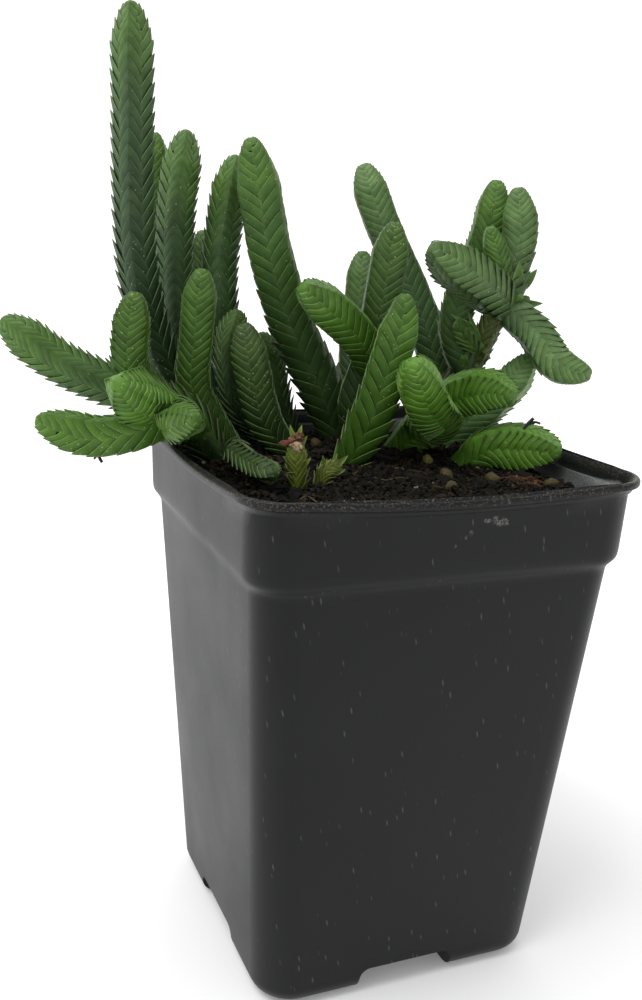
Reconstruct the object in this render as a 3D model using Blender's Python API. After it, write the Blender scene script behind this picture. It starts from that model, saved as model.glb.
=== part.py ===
"""A watch chain crassula in a square plastic nursery pot.

The plant is a clump of upright and sprawling stems, each wrapped in four ranks of
overlapping scale leaves. The pot is a thin shell on four corner feet.
Sizes are in millimetres and are turned into metres where a mesh is made.
Positions are measured from the pot's own axis, with +Z up and Z = 0 under the feet.
"""

import math

import bmesh
import bpy
import numpy as np

MM = 0.001

# Where the pot's axis stands, so that the whole object is centred on the origin.
AXIS_X = 9.7
AXIS_Y = -9.5

# Touching pieces keep this clearance.
GAP = 0.3

# Pot: outer half widths at each level.
POT_HEIGHT = 117.5
RIM_HALF = 44.5
BAND_TOP_HALF = 42.7
BAND_FOOT_HALF = 42.3
BAND_FOOT_Z = 100.3
BODY_TOP_HALF = 40.5
BODY_TOP_Z = 97.5
FOOT_HALF = 33.9
FOOT_EDGE_RADIUS = 4.5
RIM_CORNER = 10.0
BAND_CORNER = 9.0
BODY_CORNER = 8.2
FOOT_CORNER = 9.1
RIM_BOW = 0.8
RIM_SAG = 1.2
LIP_DEPTH = 3.4
WALL = 1.1

# The flared lip, as places out from its rim and up from the pot's height.
LIP_OUTSIDE = [(-0.8, -1.8), (-0.05, -1.45), (0.0, -0.5), (-0.45, 0.0)]
LIP_INSIDE = [(-2.2, -1.7), (-1.1, -0.1)]

CORNER_STEPS = 4
SIDE_STEPS = 4
CHANNEL_HALF = 11.5
CHANNEL_HEIGHT = 6.0
CHANNEL_ROUND = 2.5
DRAIN_RADIUS = 4.0
DRAIN_FROM_AXIS = 17.0

# Soil.
SOIL_Z = 112.0
SOIL_FOOT_Z = 9.0
SOIL_CELLS = 14
SOIL_LUMP = 0.7
SOIL_SLOPE = 0.03
PRILL_RADIUS = 1.9
PRILLS = [(15.5, 2.5), (12.5, -12), (35, -20), (9, -20.5), (22, -16), (23, 33), (-5, 22), (38, 30)]

# Leafy stems: spacing of the leaf pairs along a stem, and how far a leaf's edge runs down
# from its tip to the groove beside it, as a share of that spacing.
LEAF_PITCH = 4.6
EDGE_DROP = 1.35
TIP_OVERLAP = 0.30
CROWN_ROOM = 0.25
CLOSED_TIP = 0.30
OFFSET_IN_PAIR = 0.25

# Radii as shares of the stem's half width: where the next leaf starts under a tip, and the
# groove between the ranks. Old leaves stand further out, and start further in.
UNDER_LEAF = 0.78
GROOVE = 0.76
OPEN_OUT = 0.22
OPEN_UNDER = 0.10
SHOOT_ROOT = 0.30

RANKS = 4
COLUMNS = 2 * RANKS
ROD_RADIUS = 2.0
ROD_DEPTH = 7.0
ROD_TOP = 2.0
ROD_NECK = 0.3
HOLE_RADIUS = 3.6
FOOT_TAPER = 11.0
FOOT_SLIMNESS = 0.68
TIP_ROUNDNESS = 0.55
BLUNT_TIP = 0.03
TIP_LIMIT = 0.05
ROUTE_STEPS = 24

# Order of a stem's points up each column, counted in leaf pairs from the first one.
ROD_KEY = -3.0
NECK_KEY = -2.0
JUST_AFTER = 0.05
FIRST_LEAVES = 1.5
FIRST_RISE = 0.12

# The side of the plant that each stem's first rank of leaves is measured from.
FRONT = (-0.394, -0.919, 0.0)

GREEN_OLD = (0.020, 0.070, 0.028)
GREEN_MID = (0.045, 0.140, 0.030)
GREEN_NEW = (0.095, 0.250, 0.035)

# Each stem: width across its leaves, turn of its first rank in degrees, how far its lower
# leaves stand open, and the route of its middle, from the soil or its parent up to its tip.
STEMS = {
    "stem_tall": (9.9, 0, 0.3, GREEN_OLD, [
        (-32, 30, 112), (-42, 34, 134), (-46.3, 35, 152), (-47.3, 36, 172), (-47.3, 37, 191), (-47.3, 39, 210)]),
    "stem_tall_right": (9.6, 8, 0.1, GREEN_OLD, [
        (-21, 31, 112), (-33, 41, 131), (-35, 44, 147), (-34.5, 46, 165), (-31.5, 48.5, 184.5)]),
    "stem_tall_back": (7.4, 45, 0.1, GREEN_OLD, [
        (-32, 36, 112), (-36.5, 42, 123), (-38.5, 50, 132), (-36.5, 58, 161), (-36, 61, 184)]),
    "stem_left_bright": (9.0, 45, 0.0, GREEN_NEW, [
        (-27, 18, 112), (-36, 21, 126), (-36, 21, 140), (-35, 21, 154)]),
    "stem_dark": (9.3, 5, 0.3, GREEN_OLD, [
        (-12, 29.5, 112), (-22.5, 39, 132), (-24.5, 42, 149), (-22.5, 45, 164), (-19.5, 46.5, 179.5)]),
    "stem_dark_back": (7.0, 45, 0.0, GREEN_MID, [
        (-18, 37, 112), (-19, 42.5, 122), (-22, 53, 133), (-23, 59, 146), (-23, 62, 161)]),
    "stem_arching": (12.2, 45, 0.9, GREEN_MID, [
        (4, 30, 112), (0, 31.8, 124), (-4.5, 33.5, 133), (-9, 34.5, 142), (-14.3, 34.7, 158),
        (-17, 35.5, 171), (-19.5, 36.5, 183.3)]),
    "stem_middle": (9.9, 45, 0.0, GREEN_MID, [
        (-14, 16, 112), (-20, 18, 120), (-23, 19, 131), (-25, 21, 142)]),
    "stem_middle_left": (7.8, 0, 0.1, GREEN_OLD, [
        (-14, 25, 112), (-23, 28, 122), (-25, 30, 134), (-23, 31, 144)]),
    "stem_middle_right": (8.0, 0, 0.4, GREEN_OLD, [
        (-6, 37, 112), (-9, 40, 121), (-10, 43, 129), (-12.5, 44.5, 137)]),
    "stem_centre_back": (9.2, 45, 0.0, GREEN_MID, [
        (13, 36, 112), (12.9, 42.6, 128), (15.3, 46.9, 143), (17.3, 49.9, 157.6)]),
    "stem_leaning": (11.1, 45, 0.1, GREEN_OLD, [
        (31, 34, 112), (36, 36, 123), (33, 39, 136), (29, 43.3, 148), (23.1, 47.2, 161),
        (19.6, 50.8, 171), (17.5, 53.8, 179.6)]),
    "stem_front": (10.4, 45, 0.5, GREEN_MID, [
        (-4, 5, 112), (-2, 4, 117), (1, 3, 125), (3.5, 2, 136), (5.5, 1.5, 145), (6, 1.5, 151)]),
    "stem_right_low": (12, 45, 0.0, GREEN_NEW, [
        (25, 1, 112), (29, -2.5, 116.3), (35, -7.5, 117.1), (40, -15, 117.4)]),
    "stem_right_back": (10.5, 20, 0.2, GREEN_MID, [
        (31, 20, 112), (37.8, 16.7, 120.5), (44.4, 15.6, 127.2), (49.4, 14.6, 135.2)]),
    "stem_fallen": (6.3, 20, 0.2, GREEN_OLD, [
        (-29, 7, 112), (-33, 1, 116.7), (-33, -8, 116.7), (-31, -20, 116.5)]),
    "sprout_small": (5.4, 45, 0.3, GREEN_NEW, [
        (-18, -12, 112), (-16.5, -12, 115), (-13, -11.2, 116.2)]),
}

# Sprays: the first route stands in the soil, the others grow from it.
SPRAYS = {
    "spray_left": [
        (9.8, 20, 0.8, GREEN_MID, [
            (-33, 13, 112), (-39, 14, 120.5), (-47, 18, 125.5), (-56, 24, 128), (-65.5, 30, 132.2),
            (-77, 35.5, 140.8)]),
        (9.2, 45, 0.3, GREEN_MID, [
            (-41, 13, 120), (-47, 15, 126), (-51.7, 16, 132), (-52, 16.8, 140), (-51, 16.8, 149)]),
        (9.9, 45, 0.1, GREEN_MID, [
            (-39, 12, 120), (-43, 9, 123), (-48, 8, 122.4), (-54, 7.5, 120.4), (-62, 10, 119.2),
            (-73, 14, 122.2)]),
        (11.6, 45, 0.0, GREEN_NEW, [
            (-41, 13, 120), (-47, 10, 124), (-53.5, 5, 128), (-59.1, -2.2, 132.5)]),
        (8.7, 45, 0.0, GREEN_NEW, [
            (-41, 13, 120), (-45, 6, 122.5), (-46, -2, 124), (-44, -9, 126)]),
    ],
    "spray_centre": [
        (10.4, 45, 0.1, GREEN_MID, [
            (5, 17, 112), (3, 18, 122), (6, 17, 135), (8, 17, 150), (10, 17, 166)]),
        (10.9, 45, 0.0, GREEN_NEW, [
            (6, 16, 132), (1, 13, 139), (-6, 11, 144.8), (-15.9, 9.7, 151.6)]),
    ],
    "spray_right": [
        (12, 45, 0.0, GREEN_NEW, [
            (15, 17, 112), (19, 12, 119), (17.5, 4, 122.5), (9.2, -6, 128), (2.2, -11.4, 138)]),
        (11.8, 45, 0.0, GREEN_NEW, [
            (18, 10, 121), (24, 5, 127), (28, -1, 129), (31, -8, 129)]),
    ],
    "sprout_flowered": [
        (6.6, 45, 0.5, GREEN_NEW, [
            (-24.1, -14.3, 112), (-24.3, -14.3, 117), (-25, -14.3, 122.5)]),
    ],
}

# The woody stem on the right: its bare length, and the shoots that grow from it.
TRUNK_ROUTE = [(21, 26, 112), (28, 24, 122), (35, 20, 132), (38, 18, 141), (41, 17, 149)]
TRUNK_RADIUS = 2.8
TRUNK_SCAR = 0.45
TRUNK_RING = 3.0
TRUNK_SHOOTS = [
    (9.4, 45, 0.3, GREEN_MID, [
        (34, 20, 130), (32, 24, 140), (34.4, 25.8, 150), (38.5, 25.8, 160), (40.5, 25.8, 168),
        (42, 26.8, 177)]),
    (10.6, 38, 0.6, GREEN_MID, [(41, 17, 147), (42.5, 17.2, 156), (44.5, 18.2, 165), (43.5, 19.2, 175.5)]),
    (12, 45, 0.1, GREEN_NEW, [(41, 17, 147), (32, 14, 152.5), (24, 13, 156.9), (17.2, 12.3, 161)]),
    (6.4, 45, 0.0, GREEN_MID, [(41, 17, 148), (38, 15, 156), (34, 15, 166)]),
    (10.4, 20, 0.3, GREEN_MID, [(41, 17, 147), (47, 11.3, 141.3), (51, 5.8, 134.3), (57.5, 0.3, 132.1)]),
    (6.7, 20, 0.5, GREEN_OLD, [(37, 19, 135), (33, 18, 139), (29, 19, 143)]),
]

# Dried flower heads on the small front sprout.
FLOWER_RADIUS = 1.5
FLOWERS = [(-26.6, -14.9, 122.0), (-25.3, -16.0, 121.2), (-24.6, -15.0, 122.8)]


def clear_scene():
    """Removes every object that the file opened with."""
    for item in list(bpy.data.objects):
        bpy.data.objects.remove(item, do_unlink=True)


def make_collection(name):
    """A collection linked to the scene."""
    collection = bpy.data.collections.new(name)
    bpy.context.scene.collection.children.link(collection)
    return collection


def make_material(name, colour, roughness, metallic=0.0):
    """A plain Principled BSDF material."""
    material = bpy.data.materials.new(name)
    material.use_nodes = True
    shader = material.node_tree.nodes["Principled BSDF"]
    shader.inputs["Base Color"].default_value = (*colour, 1.0)
    shader.inputs["Roughness"].default_value = roughness
    shader.inputs["Metallic"].default_value = metallic
    return material


def make_object(name, points, faces, collection, material=None):
    """A mesh object from points in millimetres, standing on the pot's axis."""
    mesh = bpy.data.meshes.new(name)
    mesh.from_pydata([(x * MM, y * MM, z * MM) for x, y, z in points], [], faces)
    mesh.update()
    item = bpy.data.objects.new(name, mesh)
    item.location = (AXIS_X * MM, AXIS_Y * MM, 0.0)
    collection.objects.link(item)
    if material:
        mesh.materials.append(material)
    return item


def as_cutter(item):
    """Marks an object as a guide that isn't part of the model."""
    item.hide_render = True
    item.display_type = "WIRE"
    return item


def apply_boolean(item, operation, cutters, solver="EXACT"):
    """Joins or cuts an object with each of the cutters, and removes them."""
    for cutter in cutters:
        modifier = item.modifiers.new("cut", "BOOLEAN")
        modifier.operation = operation
        modifier.solver = solver
        modifier.object = cutter
        apply_modifiers(item)
        bpy.data.objects.remove(cutter, do_unlink=True)


def apply_modifiers(item):
    """Bakes an object's modifiers into its mesh."""
    graph = bpy.context.evaluated_depsgraph_get()
    graph.update()
    baked = bpy.data.meshes.new_from_object(item.evaluated_get(graph))
    item.modifiers.clear()
    item.data = baked


def rounded_square(half, corner, bow=0.0, sag=0.0):
    """Points round a square with arcs for corners, its sides bowed out and sagging in the middle."""
    points = []
    flat = half - corner
    for quarter in range(4):
        turn = quarter * math.pi / 2
        for step in range(CORNER_STEPS):
            angle = turn - math.pi / 2 * (1 - step / CORNER_STEPS)
            spin = turn - math.pi / 4
            centre_x = flat * math.sqrt(2) * math.cos(spin)
            centre_y = flat * math.sqrt(2) * math.sin(spin)
            points.append((centre_x + corner * math.cos(angle), centre_y + corner * math.sin(angle), 0.0))
        for step in range(SIDE_STEPS):
            along = flat * (2 * step / SIDE_STEPS - 1)
            swell = 1 - (along / flat) ** 2
            out = half + bow * swell
            x = out * math.cos(turn) - along * math.sin(turn)
            y = out * math.sin(turn) + along * math.cos(turn)
            points.append((x, y, -sag * swell))
    return points


def loft(levels, name, collection, material=None):
    """A closed solid through rounded squares, each given as half width, corner, height, bow and sag."""
    points = []
    for half, corner, height, bow, sag in levels:
        points += [(x, y, z + height) for x, y, z in rounded_square(half, corner, bow, sag)]
    count = len(points) // len(levels)
    faces = []
    for level in range(len(levels) - 1):
        for k in range(count):
            a = level * count + k
            b = level * count + (k + 1) % count
            faces.append((a, b, b + count, a + count))
    faces.append(tuple(reversed(range(count))))
    faces.append(tuple(range((len(levels) - 1) * count, len(levels) * count)))
    return make_object(name, points, faces, collection, material)


def foot_levels(half, corner, radius, floor_z):
    """Levels of a rounded bottom edge."""
    levels = []
    for step in range(4):
        angle = math.pi / 2 * step / 3
        inset = radius * (1 - math.sin(angle))
        rise = radius * (1 - math.cos(angle))
        levels.append((half - inset, corner - inset * 0.8, floor_z + rise, 0.0, 0.0))
    return levels


def body_half(z):
    """The outer half width of the tapered body at a height."""
    return FOOT_HALF + (BODY_TOP_HALF - FOOT_HALF) * z / BODY_TOP_Z


def body_corner(z):
    """The outer corner radius of the tapered body at a height."""
    return FOOT_CORNER + (BODY_CORNER - FOOT_CORNER) * z / BODY_TOP_Z


def outer_levels():
    """The outside of the pot from its feet to the top of its lip."""
    levels = foot_levels(body_half(FOOT_EDGE_RADIUS), FOOT_CORNER, FOOT_EDGE_RADIUS, 0.0)
    for z in (BODY_TOP_Z * 0.5, BODY_TOP_Z):
        levels.append((body_half(z), body_corner(z), z, 0.0, 0.0))
    levels.append((BAND_FOOT_HALF - 0.3, BAND_CORNER, BAND_FOOT_Z - 0.8, 0.0, 0.0))
    levels.append((BAND_FOOT_HALF, BAND_CORNER, BAND_FOOT_Z + 0.6, 0.0, 0.0))
    lip_foot = POT_HEIGHT - LIP_DEPTH
    levels.append((BAND_TOP_HALF, RIM_CORNER - 1.0, lip_foot, RIM_BOW * 0.6, RIM_SAG * 0.8))
    for out, rise in LIP_OUTSIDE:
        levels.append((RIM_HALF + out, RIM_CORNER + out, POT_HEIGHT + rise, RIM_BOW, RIM_SAG))
    return levels


def inner_levels(clearance, floor_z, top_z):
    """The inside of the pot, or the soil's side, from a floor to a top."""
    inset = WALL + clearance
    foot_radius = FOOT_EDGE_RADIUS - WALL
    levels = foot_levels(body_half(FOOT_EDGE_RADIUS) - inset, FOOT_CORNER - inset, foot_radius, floor_z)
    z = BODY_TOP_Z + 0.4
    levels.append((body_half(z) - inset, body_corner(z) - inset, z, 0.0, 0.0))
    levels.append((BAND_FOOT_HALF - inset, BAND_CORNER - inset, BAND_FOOT_Z + 0.8, 0.0, 0.0))
    if top_z <= POT_HEIGHT - LIP_DEPTH:
        share = (top_z - BAND_FOOT_Z) / (POT_HEIGHT - LIP_DEPTH - BAND_FOOT_Z)
        half = BAND_FOOT_HALF + (BAND_TOP_HALF - BAND_FOOT_HALF) * share
        levels.append((half - inset, BAND_CORNER - inset, top_z, 0.0, 0.0))
        return levels
    lip_foot = POT_HEIGHT - LIP_DEPTH
    levels.append((BAND_TOP_HALF - inset, RIM_CORNER - 1.0 - inset, lip_foot, RIM_BOW * 0.6, RIM_SAG * 0.8))
    for out, rise in LIP_INSIDE:
        levels.append((RIM_HALF + out, RIM_CORNER + out, POT_HEIGHT + rise, RIM_BOW, RIM_SAG))
    last = LIP_INSIDE[-1][0]
    levels.append((RIM_HALF + last, RIM_CORNER + last, top_z, RIM_BOW, RIM_SAG))
    return levels


def channel(name, grow, along_x, collection):
    """A flat-topped arch that runs right across under the pot, to leave four feet."""
    reach = RIM_HALF + 10.0
    half = CHANNEL_HALF + grow
    top = CHANNEL_HEIGHT + grow
    low = -10.0
    outline = [(-half - 1.0, low), (half + 1.0, low), (half, top - CHANNEL_ROUND)]
    outline += [(half - CHANNEL_ROUND * 0.35, top - CHANNEL_ROUND * 0.3), (half - CHANNEL_ROUND, top)]
    outline += [(-half + CHANNEL_ROUND, top), (-half + CHANNEL_ROUND * 0.35, top - CHANNEL_ROUND * 0.3)]
    outline += [(-half, top - CHANNEL_ROUND)]
    points = []
    for end in (-reach, reach):
        for across, z in outline:
            points.append((end, -across, z) if along_x else (across, end, z))
    count = len(outline)
    faces = [tuple(range(count)), tuple(reversed(range(count, 2 * count)))]
    for k in range(count):
        nearby = (k + 1) % count
        faces.append((k, k + count, nearby + count, nearby))
    item = make_object(name, points, faces, collection)
    fix_normals(item)
    return as_cutter(item)


def fix_normals(item):
    """Turns a closed mesh's faces outwards."""
    work = bmesh.new()
    work.from_mesh(item.data)
    bmesh.ops.recalc_face_normals(work, faces=work.faces)
    work.to_mesh(item.data)
    work.free()


def make_pot(collection, cutters, material):
    """The pot: an outer form less the same form a wall's thickness inside it."""
    pot = loft(outer_levels(), "pot", collection, material)
    hollow = as_cutter(loft(inner_levels(0.0, WALL, POT_HEIGHT + 3.0), "pot_hollow", cutters))
    arches = [channel(f"arch_{k}", 0.0, k == 0, cutters) for k in range(2)]
    ridges = [channel(f"ridge_{k}", WALL, k == 0, cutters) for k in range(2)]
    apply_boolean(pot, "DIFFERENCE", arches)
    apply_boolean(hollow, "DIFFERENCE", ridges)
    drains = [drain(k, cutters) for k in range(4)]
    apply_boolean(pot, "DIFFERENCE", [hollow] + drains)
    return pot


def drain(k, cutters):
    """A drain hole through the raised floor."""
    angle = k * math.pi / 2
    x = AXIS_X + DRAIN_FROM_AXIS * math.cos(angle)
    y = AXIS_Y + DRAIN_FROM_AXIS * math.sin(angle)
    place = (x * MM, y * MM, CHANNEL_HEIGHT * MM)
    depth = 6 * WALL * MM
    bpy.ops.mesh.primitive_cylinder_add(vertices=12, radius=DRAIN_RADIUS * MM, depth=depth, location=place)
    return own(bpy.context.active_object, f"drain_{k}", cutters)


def own(item, name, collection):
    """Names a new primitive, moves it to a collection and marks it as a cutter."""
    item.name = name
    for old in list(item.users_collection):
        old.objects.unlink(item)
    collection.objects.link(item)
    return as_cutter(item)


def soil_height(x, y):
    """The lumpy top of the soil, a little lower beside the pot's wall."""
    waves = math.sin(x * 0.31 + 1.3) * math.cos(y * 0.27 - 0.4)
    waves += 0.6 * math.sin(x * 0.71 - y * 0.52 + 0.7)
    waves += 0.4 * math.cos(x * 1.13 + y * 0.93)
    edge = max(abs(x), abs(y)) / BAND_TOP_HALF
    fall = SOIL_SLOPE * max(0.0, x)
    return SOIL_Z + SOIL_LUMP * 0.5 * waves - fall - 1.2 * max(0.0, edge - 0.8) / 0.2


def make_soil(collection, cutters, material, feet):
    """The soil: the pot's inside, cut by a lumpy surface and by a plain hole for each stem."""
    soil = loft(inner_levels(GAP, SOIL_FOOT_Z, POT_HEIGHT - LIP_DEPTH), "soil", collection, material)
    apply_boolean(soil, "INTERSECT", [soil_block(cutters)])
    apply_boolean(soil, "UNION", [prill(x, y, cutters) for x, y in PRILLS], "MANIFOLD")
    holes = [stem_hole(k, foot, cutters) for k, foot in enumerate(feet)]
    apply_boolean(soil, "DIFFERENCE", holes, "MANIFOLD")
    return soil


def soil_block(cutters):
    """A wide block with the soil's surface for a top."""
    reach = BAND_TOP_HALF + 2.0
    points = []
    for row in range(SOIL_CELLS + 1):
        for column in range(SOIL_CELLS + 1):
            x = reach * (2 * column / SOIL_CELLS - 1)
            y = reach * (2 * row / SOIL_CELLS - 1)
            points.append((x, y, soil_height(x, y)))
    width = SOIL_CELLS + 1
    faces = []
    for row in range(SOIL_CELLS):
        for column in range(SOIL_CELLS):
            a = row * width + column
            faces.append((a, a + 1, a + width + 1))
            faces.append((a, a + width + 1, a + width))
    base = len(points)
    for x, y in ((-reach, -reach), (reach, -reach), (reach, reach), (-reach, reach)):
        points.append((x, y, SOIL_FOOT_Z - 5.0))
    south = list(range(width))
    east = [row * width + width - 1 for row in range(width)]
    north = [SOIL_CELLS * width + column for column in reversed(range(width))]
    west = [row * width for row in reversed(range(width))]
    for k, edge in enumerate((south, east, north, west)):
        faces.append(tuple([base + k, base + (k + 1) % 4] + list(reversed(edge))))
    faces.append((base + 3, base + 2, base + 1, base))
    return as_cutter(make_object("soil_block", points, faces, cutters))


def prill(x, y, cutters):
    """A ball of fertiliser half sunk in the soil."""
    place = ((AXIS_X + x) * MM, (AXIS_Y + y) * MM, (soil_height(x, y) + 0.5) * MM)
    bpy.ops.mesh.primitive_ico_sphere_add(subdivisions=1, radius=PRILL_RADIUS * MM, location=place)
    return own(bpy.context.active_object, f"prill_{x}_{y}", cutters)


def stem_hole(k, foot, cutters):
    """A plain hole that a stem stands in."""
    x, y, radius = foot
    centre_z = SOIL_Z + 5.0 - (ROD_DEPTH + GAP + 5.0) / 2
    place = ((AXIS_X + x) * MM, (AXIS_Y + y) * MM, centre_z * MM)
    depth = (ROD_DEPTH + GAP + 5.0) * MM
    bpy.ops.mesh.primitive_cylinder_add(vertices=8, radius=radius * MM, depth=depth, location=place)
    return own(bpy.context.active_object, f"hole_{k}", cutters)


class Route:
    """A smooth curve through a stem's points, read by its length from the start."""

    def __init__(self, points):
        knots = np.array(points, dtype=float)
        spans = np.linalg.norm(np.diff(knots, axis=0), axis=1) ** 0.5
        times = np.concatenate([[0.0], np.cumsum(spans)])
        slopes = np.empty_like(knots)
        slopes[0] = (knots[1] - knots[0]) / spans[0]
        slopes[-1] = (knots[-1] - knots[-2]) / spans[-1]
        for k in range(1, len(knots) - 1):
            slopes[k] = (knots[k + 1] - knots[k - 1]) / (times[k + 1] - times[k - 1])
        samples = [knots[0]]
        for k, span in enumerate(spans):
            for step in range(1, ROUTE_STEPS + 1):
                t = step / ROUTE_STEPS
                samples.append(
                    (2 * t**3 - 3 * t**2 + 1) * knots[k]
                    + (t**3 - 2 * t**2 + t) * span * slopes[k]
                    + (3 * t**2 - 2 * t**3) * knots[k + 1]
                    + (t**3 - t**2) * span * slopes[k + 1])
        self.samples = np.array(samples)
        steps = np.linalg.norm(np.diff(self.samples, axis=0), axis=1)
        self.lengths = np.concatenate([[0.0], np.cumsum(steps)])
        self.length = float(self.lengths[-1])

    def point(self, s):
        """The place at a length along the route, carried straight on past either end."""
        inside = min(max(s, 0.0), self.length)
        return self.at(inside) + self.heading(inside) * (s - inside)

    def at(self, s):
        """The place at a length within the route."""
        return np.array([np.interp(s, self.lengths, self.samples[:, k]) for k in range(3)])

    def heading(self, s):
        """The direction of growth at a length along the route."""
        reach = 1.5
        step = self.at(min(s + reach, self.length)) - self.at(max(s - reach, 0.0))
        return step / np.linalg.norm(step)

    def axes(self, s, turn):
        """Two directions across the route, the first towards the front and turned by an angle."""
        heading = self.heading(s)
        front = np.array(FRONT) - np.dot(FRONT, heading) * heading
        front /= np.linalg.norm(front)
        side = np.cross(heading, front)
        angle = math.radians(turn)
        first = front * math.cos(angle) + side * math.sin(angle)
        return first, np.cross(heading, first)


def stem_half(width, s, length):
    """Half the stem's width across its leaves: slim at the foot and round at the tip."""
    foot = FOOT_SLIMNESS + (1 - FOOT_SLIMNESS) * min(1.0, max(0.0, s / FOOT_TAPER))
    tip = math.sqrt(min(1.0, max(BLUNT_TIP, (length - s) / (TIP_ROUNDNESS * width))))
    return 0.5 * width * foot * tip


def zip_columns(first, second, keys, faces):
    """Triangles between two columns of points, which are matched by their keys."""
    i = 0
    j = 0
    while i < len(first) - 1 or j < len(second) - 1:
        next_i = keys[first[i + 1]] if i < len(first) - 1 else math.inf
        next_j = keys[second[j + 1]] if j < len(second) - 1 else math.inf
        if next_i <= next_j:
            faces.append((first[i], second[j], first[i + 1]))
            i += 1
        else:
            faces.append((first[i], second[j], second[j + 1]))
            j += 1


def upright_foot(start, s, turn):
    """The middle and the axes of a stem where it stands upright in its hole."""
    centre = np.array([start[0], start[1], start[2] + s])
    front = np.array(FRONT)
    side = np.cross((0.0, 0.0, 1.0), front)
    angle = math.radians(turn)
    first = front * math.cos(angle) + side * math.sin(angle)
    return centre, first, np.cross((0.0, 0.0, 1.0), first)


def leafy_tube(name, design, collection, material, in_soil):
    """A stem with its scale leaves, raised from its surface: one closed mesh.

    Four columns follow the leaf ranks and four follow the grooves between them. Up a rank,
    each leaf swells out to its tip and the next one starts further in, so the tips overlap.
    Neighbouring ranks are half a spacing apart.
    """
    width, turn, openness, _, points = design
    route = Route(points)
    length = route.length
    start = ROD_TOP if in_soil else 0.0
    pairs = int((length - start) / LEAF_PITCH)
    pitch = (length - start) / (pairs + CROWN_ROOM)
    last_key = pairs + CROWN_ROOM - CLOSED_TIP
    verts = []
    keys = []
    columns = [[] for _ in range(COLUMNS)]

    def add(column, s, radius, key):
        angle = 2 * math.pi * column / COLUMNS
        along = min(s, length - TIP_LIMIT)
        if in_soil and s < ROD_TOP:
            centre, across, over = upright_foot(points[0], s, turn)
        else:
            centre = route.point(along)
            across, over = route.axes(max(along, 0.0), turn)
        columns[column].append(len(verts))
        verts.append(centre + radius * (across * math.cos(angle) + over * math.sin(angle)))
        keys.append(key)

    for column in range(COLUMNS):
        if in_soil:
            add(column, -ROD_DEPTH, ROD_RADIUS, ROD_KEY)
            add(column, ROD_NECK, ROD_RADIUS, NECK_KEY)
        else:
            add(column, 0.0, SHOOT_ROOT * width, NECK_KEY)
    for column in range(COLUMNS):
        if column % 2 == 0:
            offset = 0.0 if column % RANKS == 0 else 0.5
            for n in range(1, pairs + 1):
                key = n - OFFSET_IN_PAIR + offset
                if key > last_key:
                    break
                s = start + key * pitch
                openness_here = openness * (1 - min(1.0, s / length))
                spread = 1 + OPEN_OUT * openness_here
                tip_s = s + TIP_OVERLAP * pitch * (1 + 0.5 * openness_here)
                add(column, tip_s, spread * stem_half(width, tip_s, length), key)
                under = UNDER_LEAF - OPEN_UNDER * openness_here
                add(column, s, under * stem_half(width, s, length), key + JUST_AFTER)
        else:
            for n in range(2, 2 * pairs + 2):
                key = n / 2 - OFFSET_IN_PAIR
                if key > last_key:
                    break
                drop = EDGE_DROP * min(1.0, key / FIRST_LEAVES)
                s = start + max(FIRST_RISE * key, key - drop) * pitch
                add(column, s, GROOVE * stem_half(width, s, length), key)
    foot = len(verts)
    verts.append(np.mean([verts[column[0]] for column in columns], axis=0))
    crown = len(verts)
    verts.append(route.point(length))
    faces = []
    for column in range(COLUMNS):
        left = columns[column]
        right = columns[(column + 1) % COLUMNS]
        zip_columns(left, right, keys, faces)
        faces.append((foot, right[0], left[0]))
        faces.append((left[-1], right[-1], crown))
    return make_object(name, verts, faces, collection, material)


def woody_tube(name, collection, material):
    """The bare woody stem, ringed with old leaf scars."""
    route = Route(TRUNK_ROUTE)
    stations = [(-ROD_DEPTH, TRUNK_RADIUS - 0.3), (0.3, TRUNK_RADIUS - 0.3)]
    for ring in range(1, int(2 * route.length / TRUNK_RING)):
        scar = TRUNK_SCAR if ring % 2 else 0.0
        stations.append((ring * TRUNK_RING / 2, TRUNK_RADIUS + scar))
    verts = []
    for s, radius in stations:
        if s < ROD_TOP / 2:
            centre, across, over = upright_foot(TRUNK_ROUTE[0], s, 0.0)
        else:
            centre = route.point(s)
            across, over = route.axes(s, 0.0)
        for k in range(COLUMNS):
            angle = 2 * math.pi * k / COLUMNS
            verts.append(centre + radius * (across * math.cos(angle) + over * math.sin(angle)))
    faces = [tuple(reversed(range(COLUMNS)))]
    for level in range(len(stations) - 1):
        for k in range(COLUMNS):
            a = level * COLUMNS + k
            b = level * COLUMNS + (k + 1) % COLUMNS
            faces.append((a, b, b + COLUMNS))
            faces.append((a, b + COLUMNS, a + COLUMNS))
    faces.append(tuple(range(len(verts) - COLUMNS, len(verts))))
    return make_object(name, verts, faces, collection, material)


def fuse(item, pieces):
    """Joins pieces to an object as one body, by one union on a collection of them."""
    group = make_collection(item.name + "_pieces")
    for piece in pieces:
        for old in list(piece.users_collection):
            old.objects.unlink(piece)
        group.objects.link(piece)
    modifier = item.modifiers.new("fuse", "BOOLEAN")
    modifier.operation = "UNION"
    modifier.operand_type = "COLLECTION"
    modifier.collection = group
    modifier.solver = "MANIFOLD"
    apply_modifiers(item)
    keep_main_body(item)
    for piece in pieces:
        bpy.data.objects.remove(piece, do_unlink=True)
    bpy.data.collections.remove(group)
    return item


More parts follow.
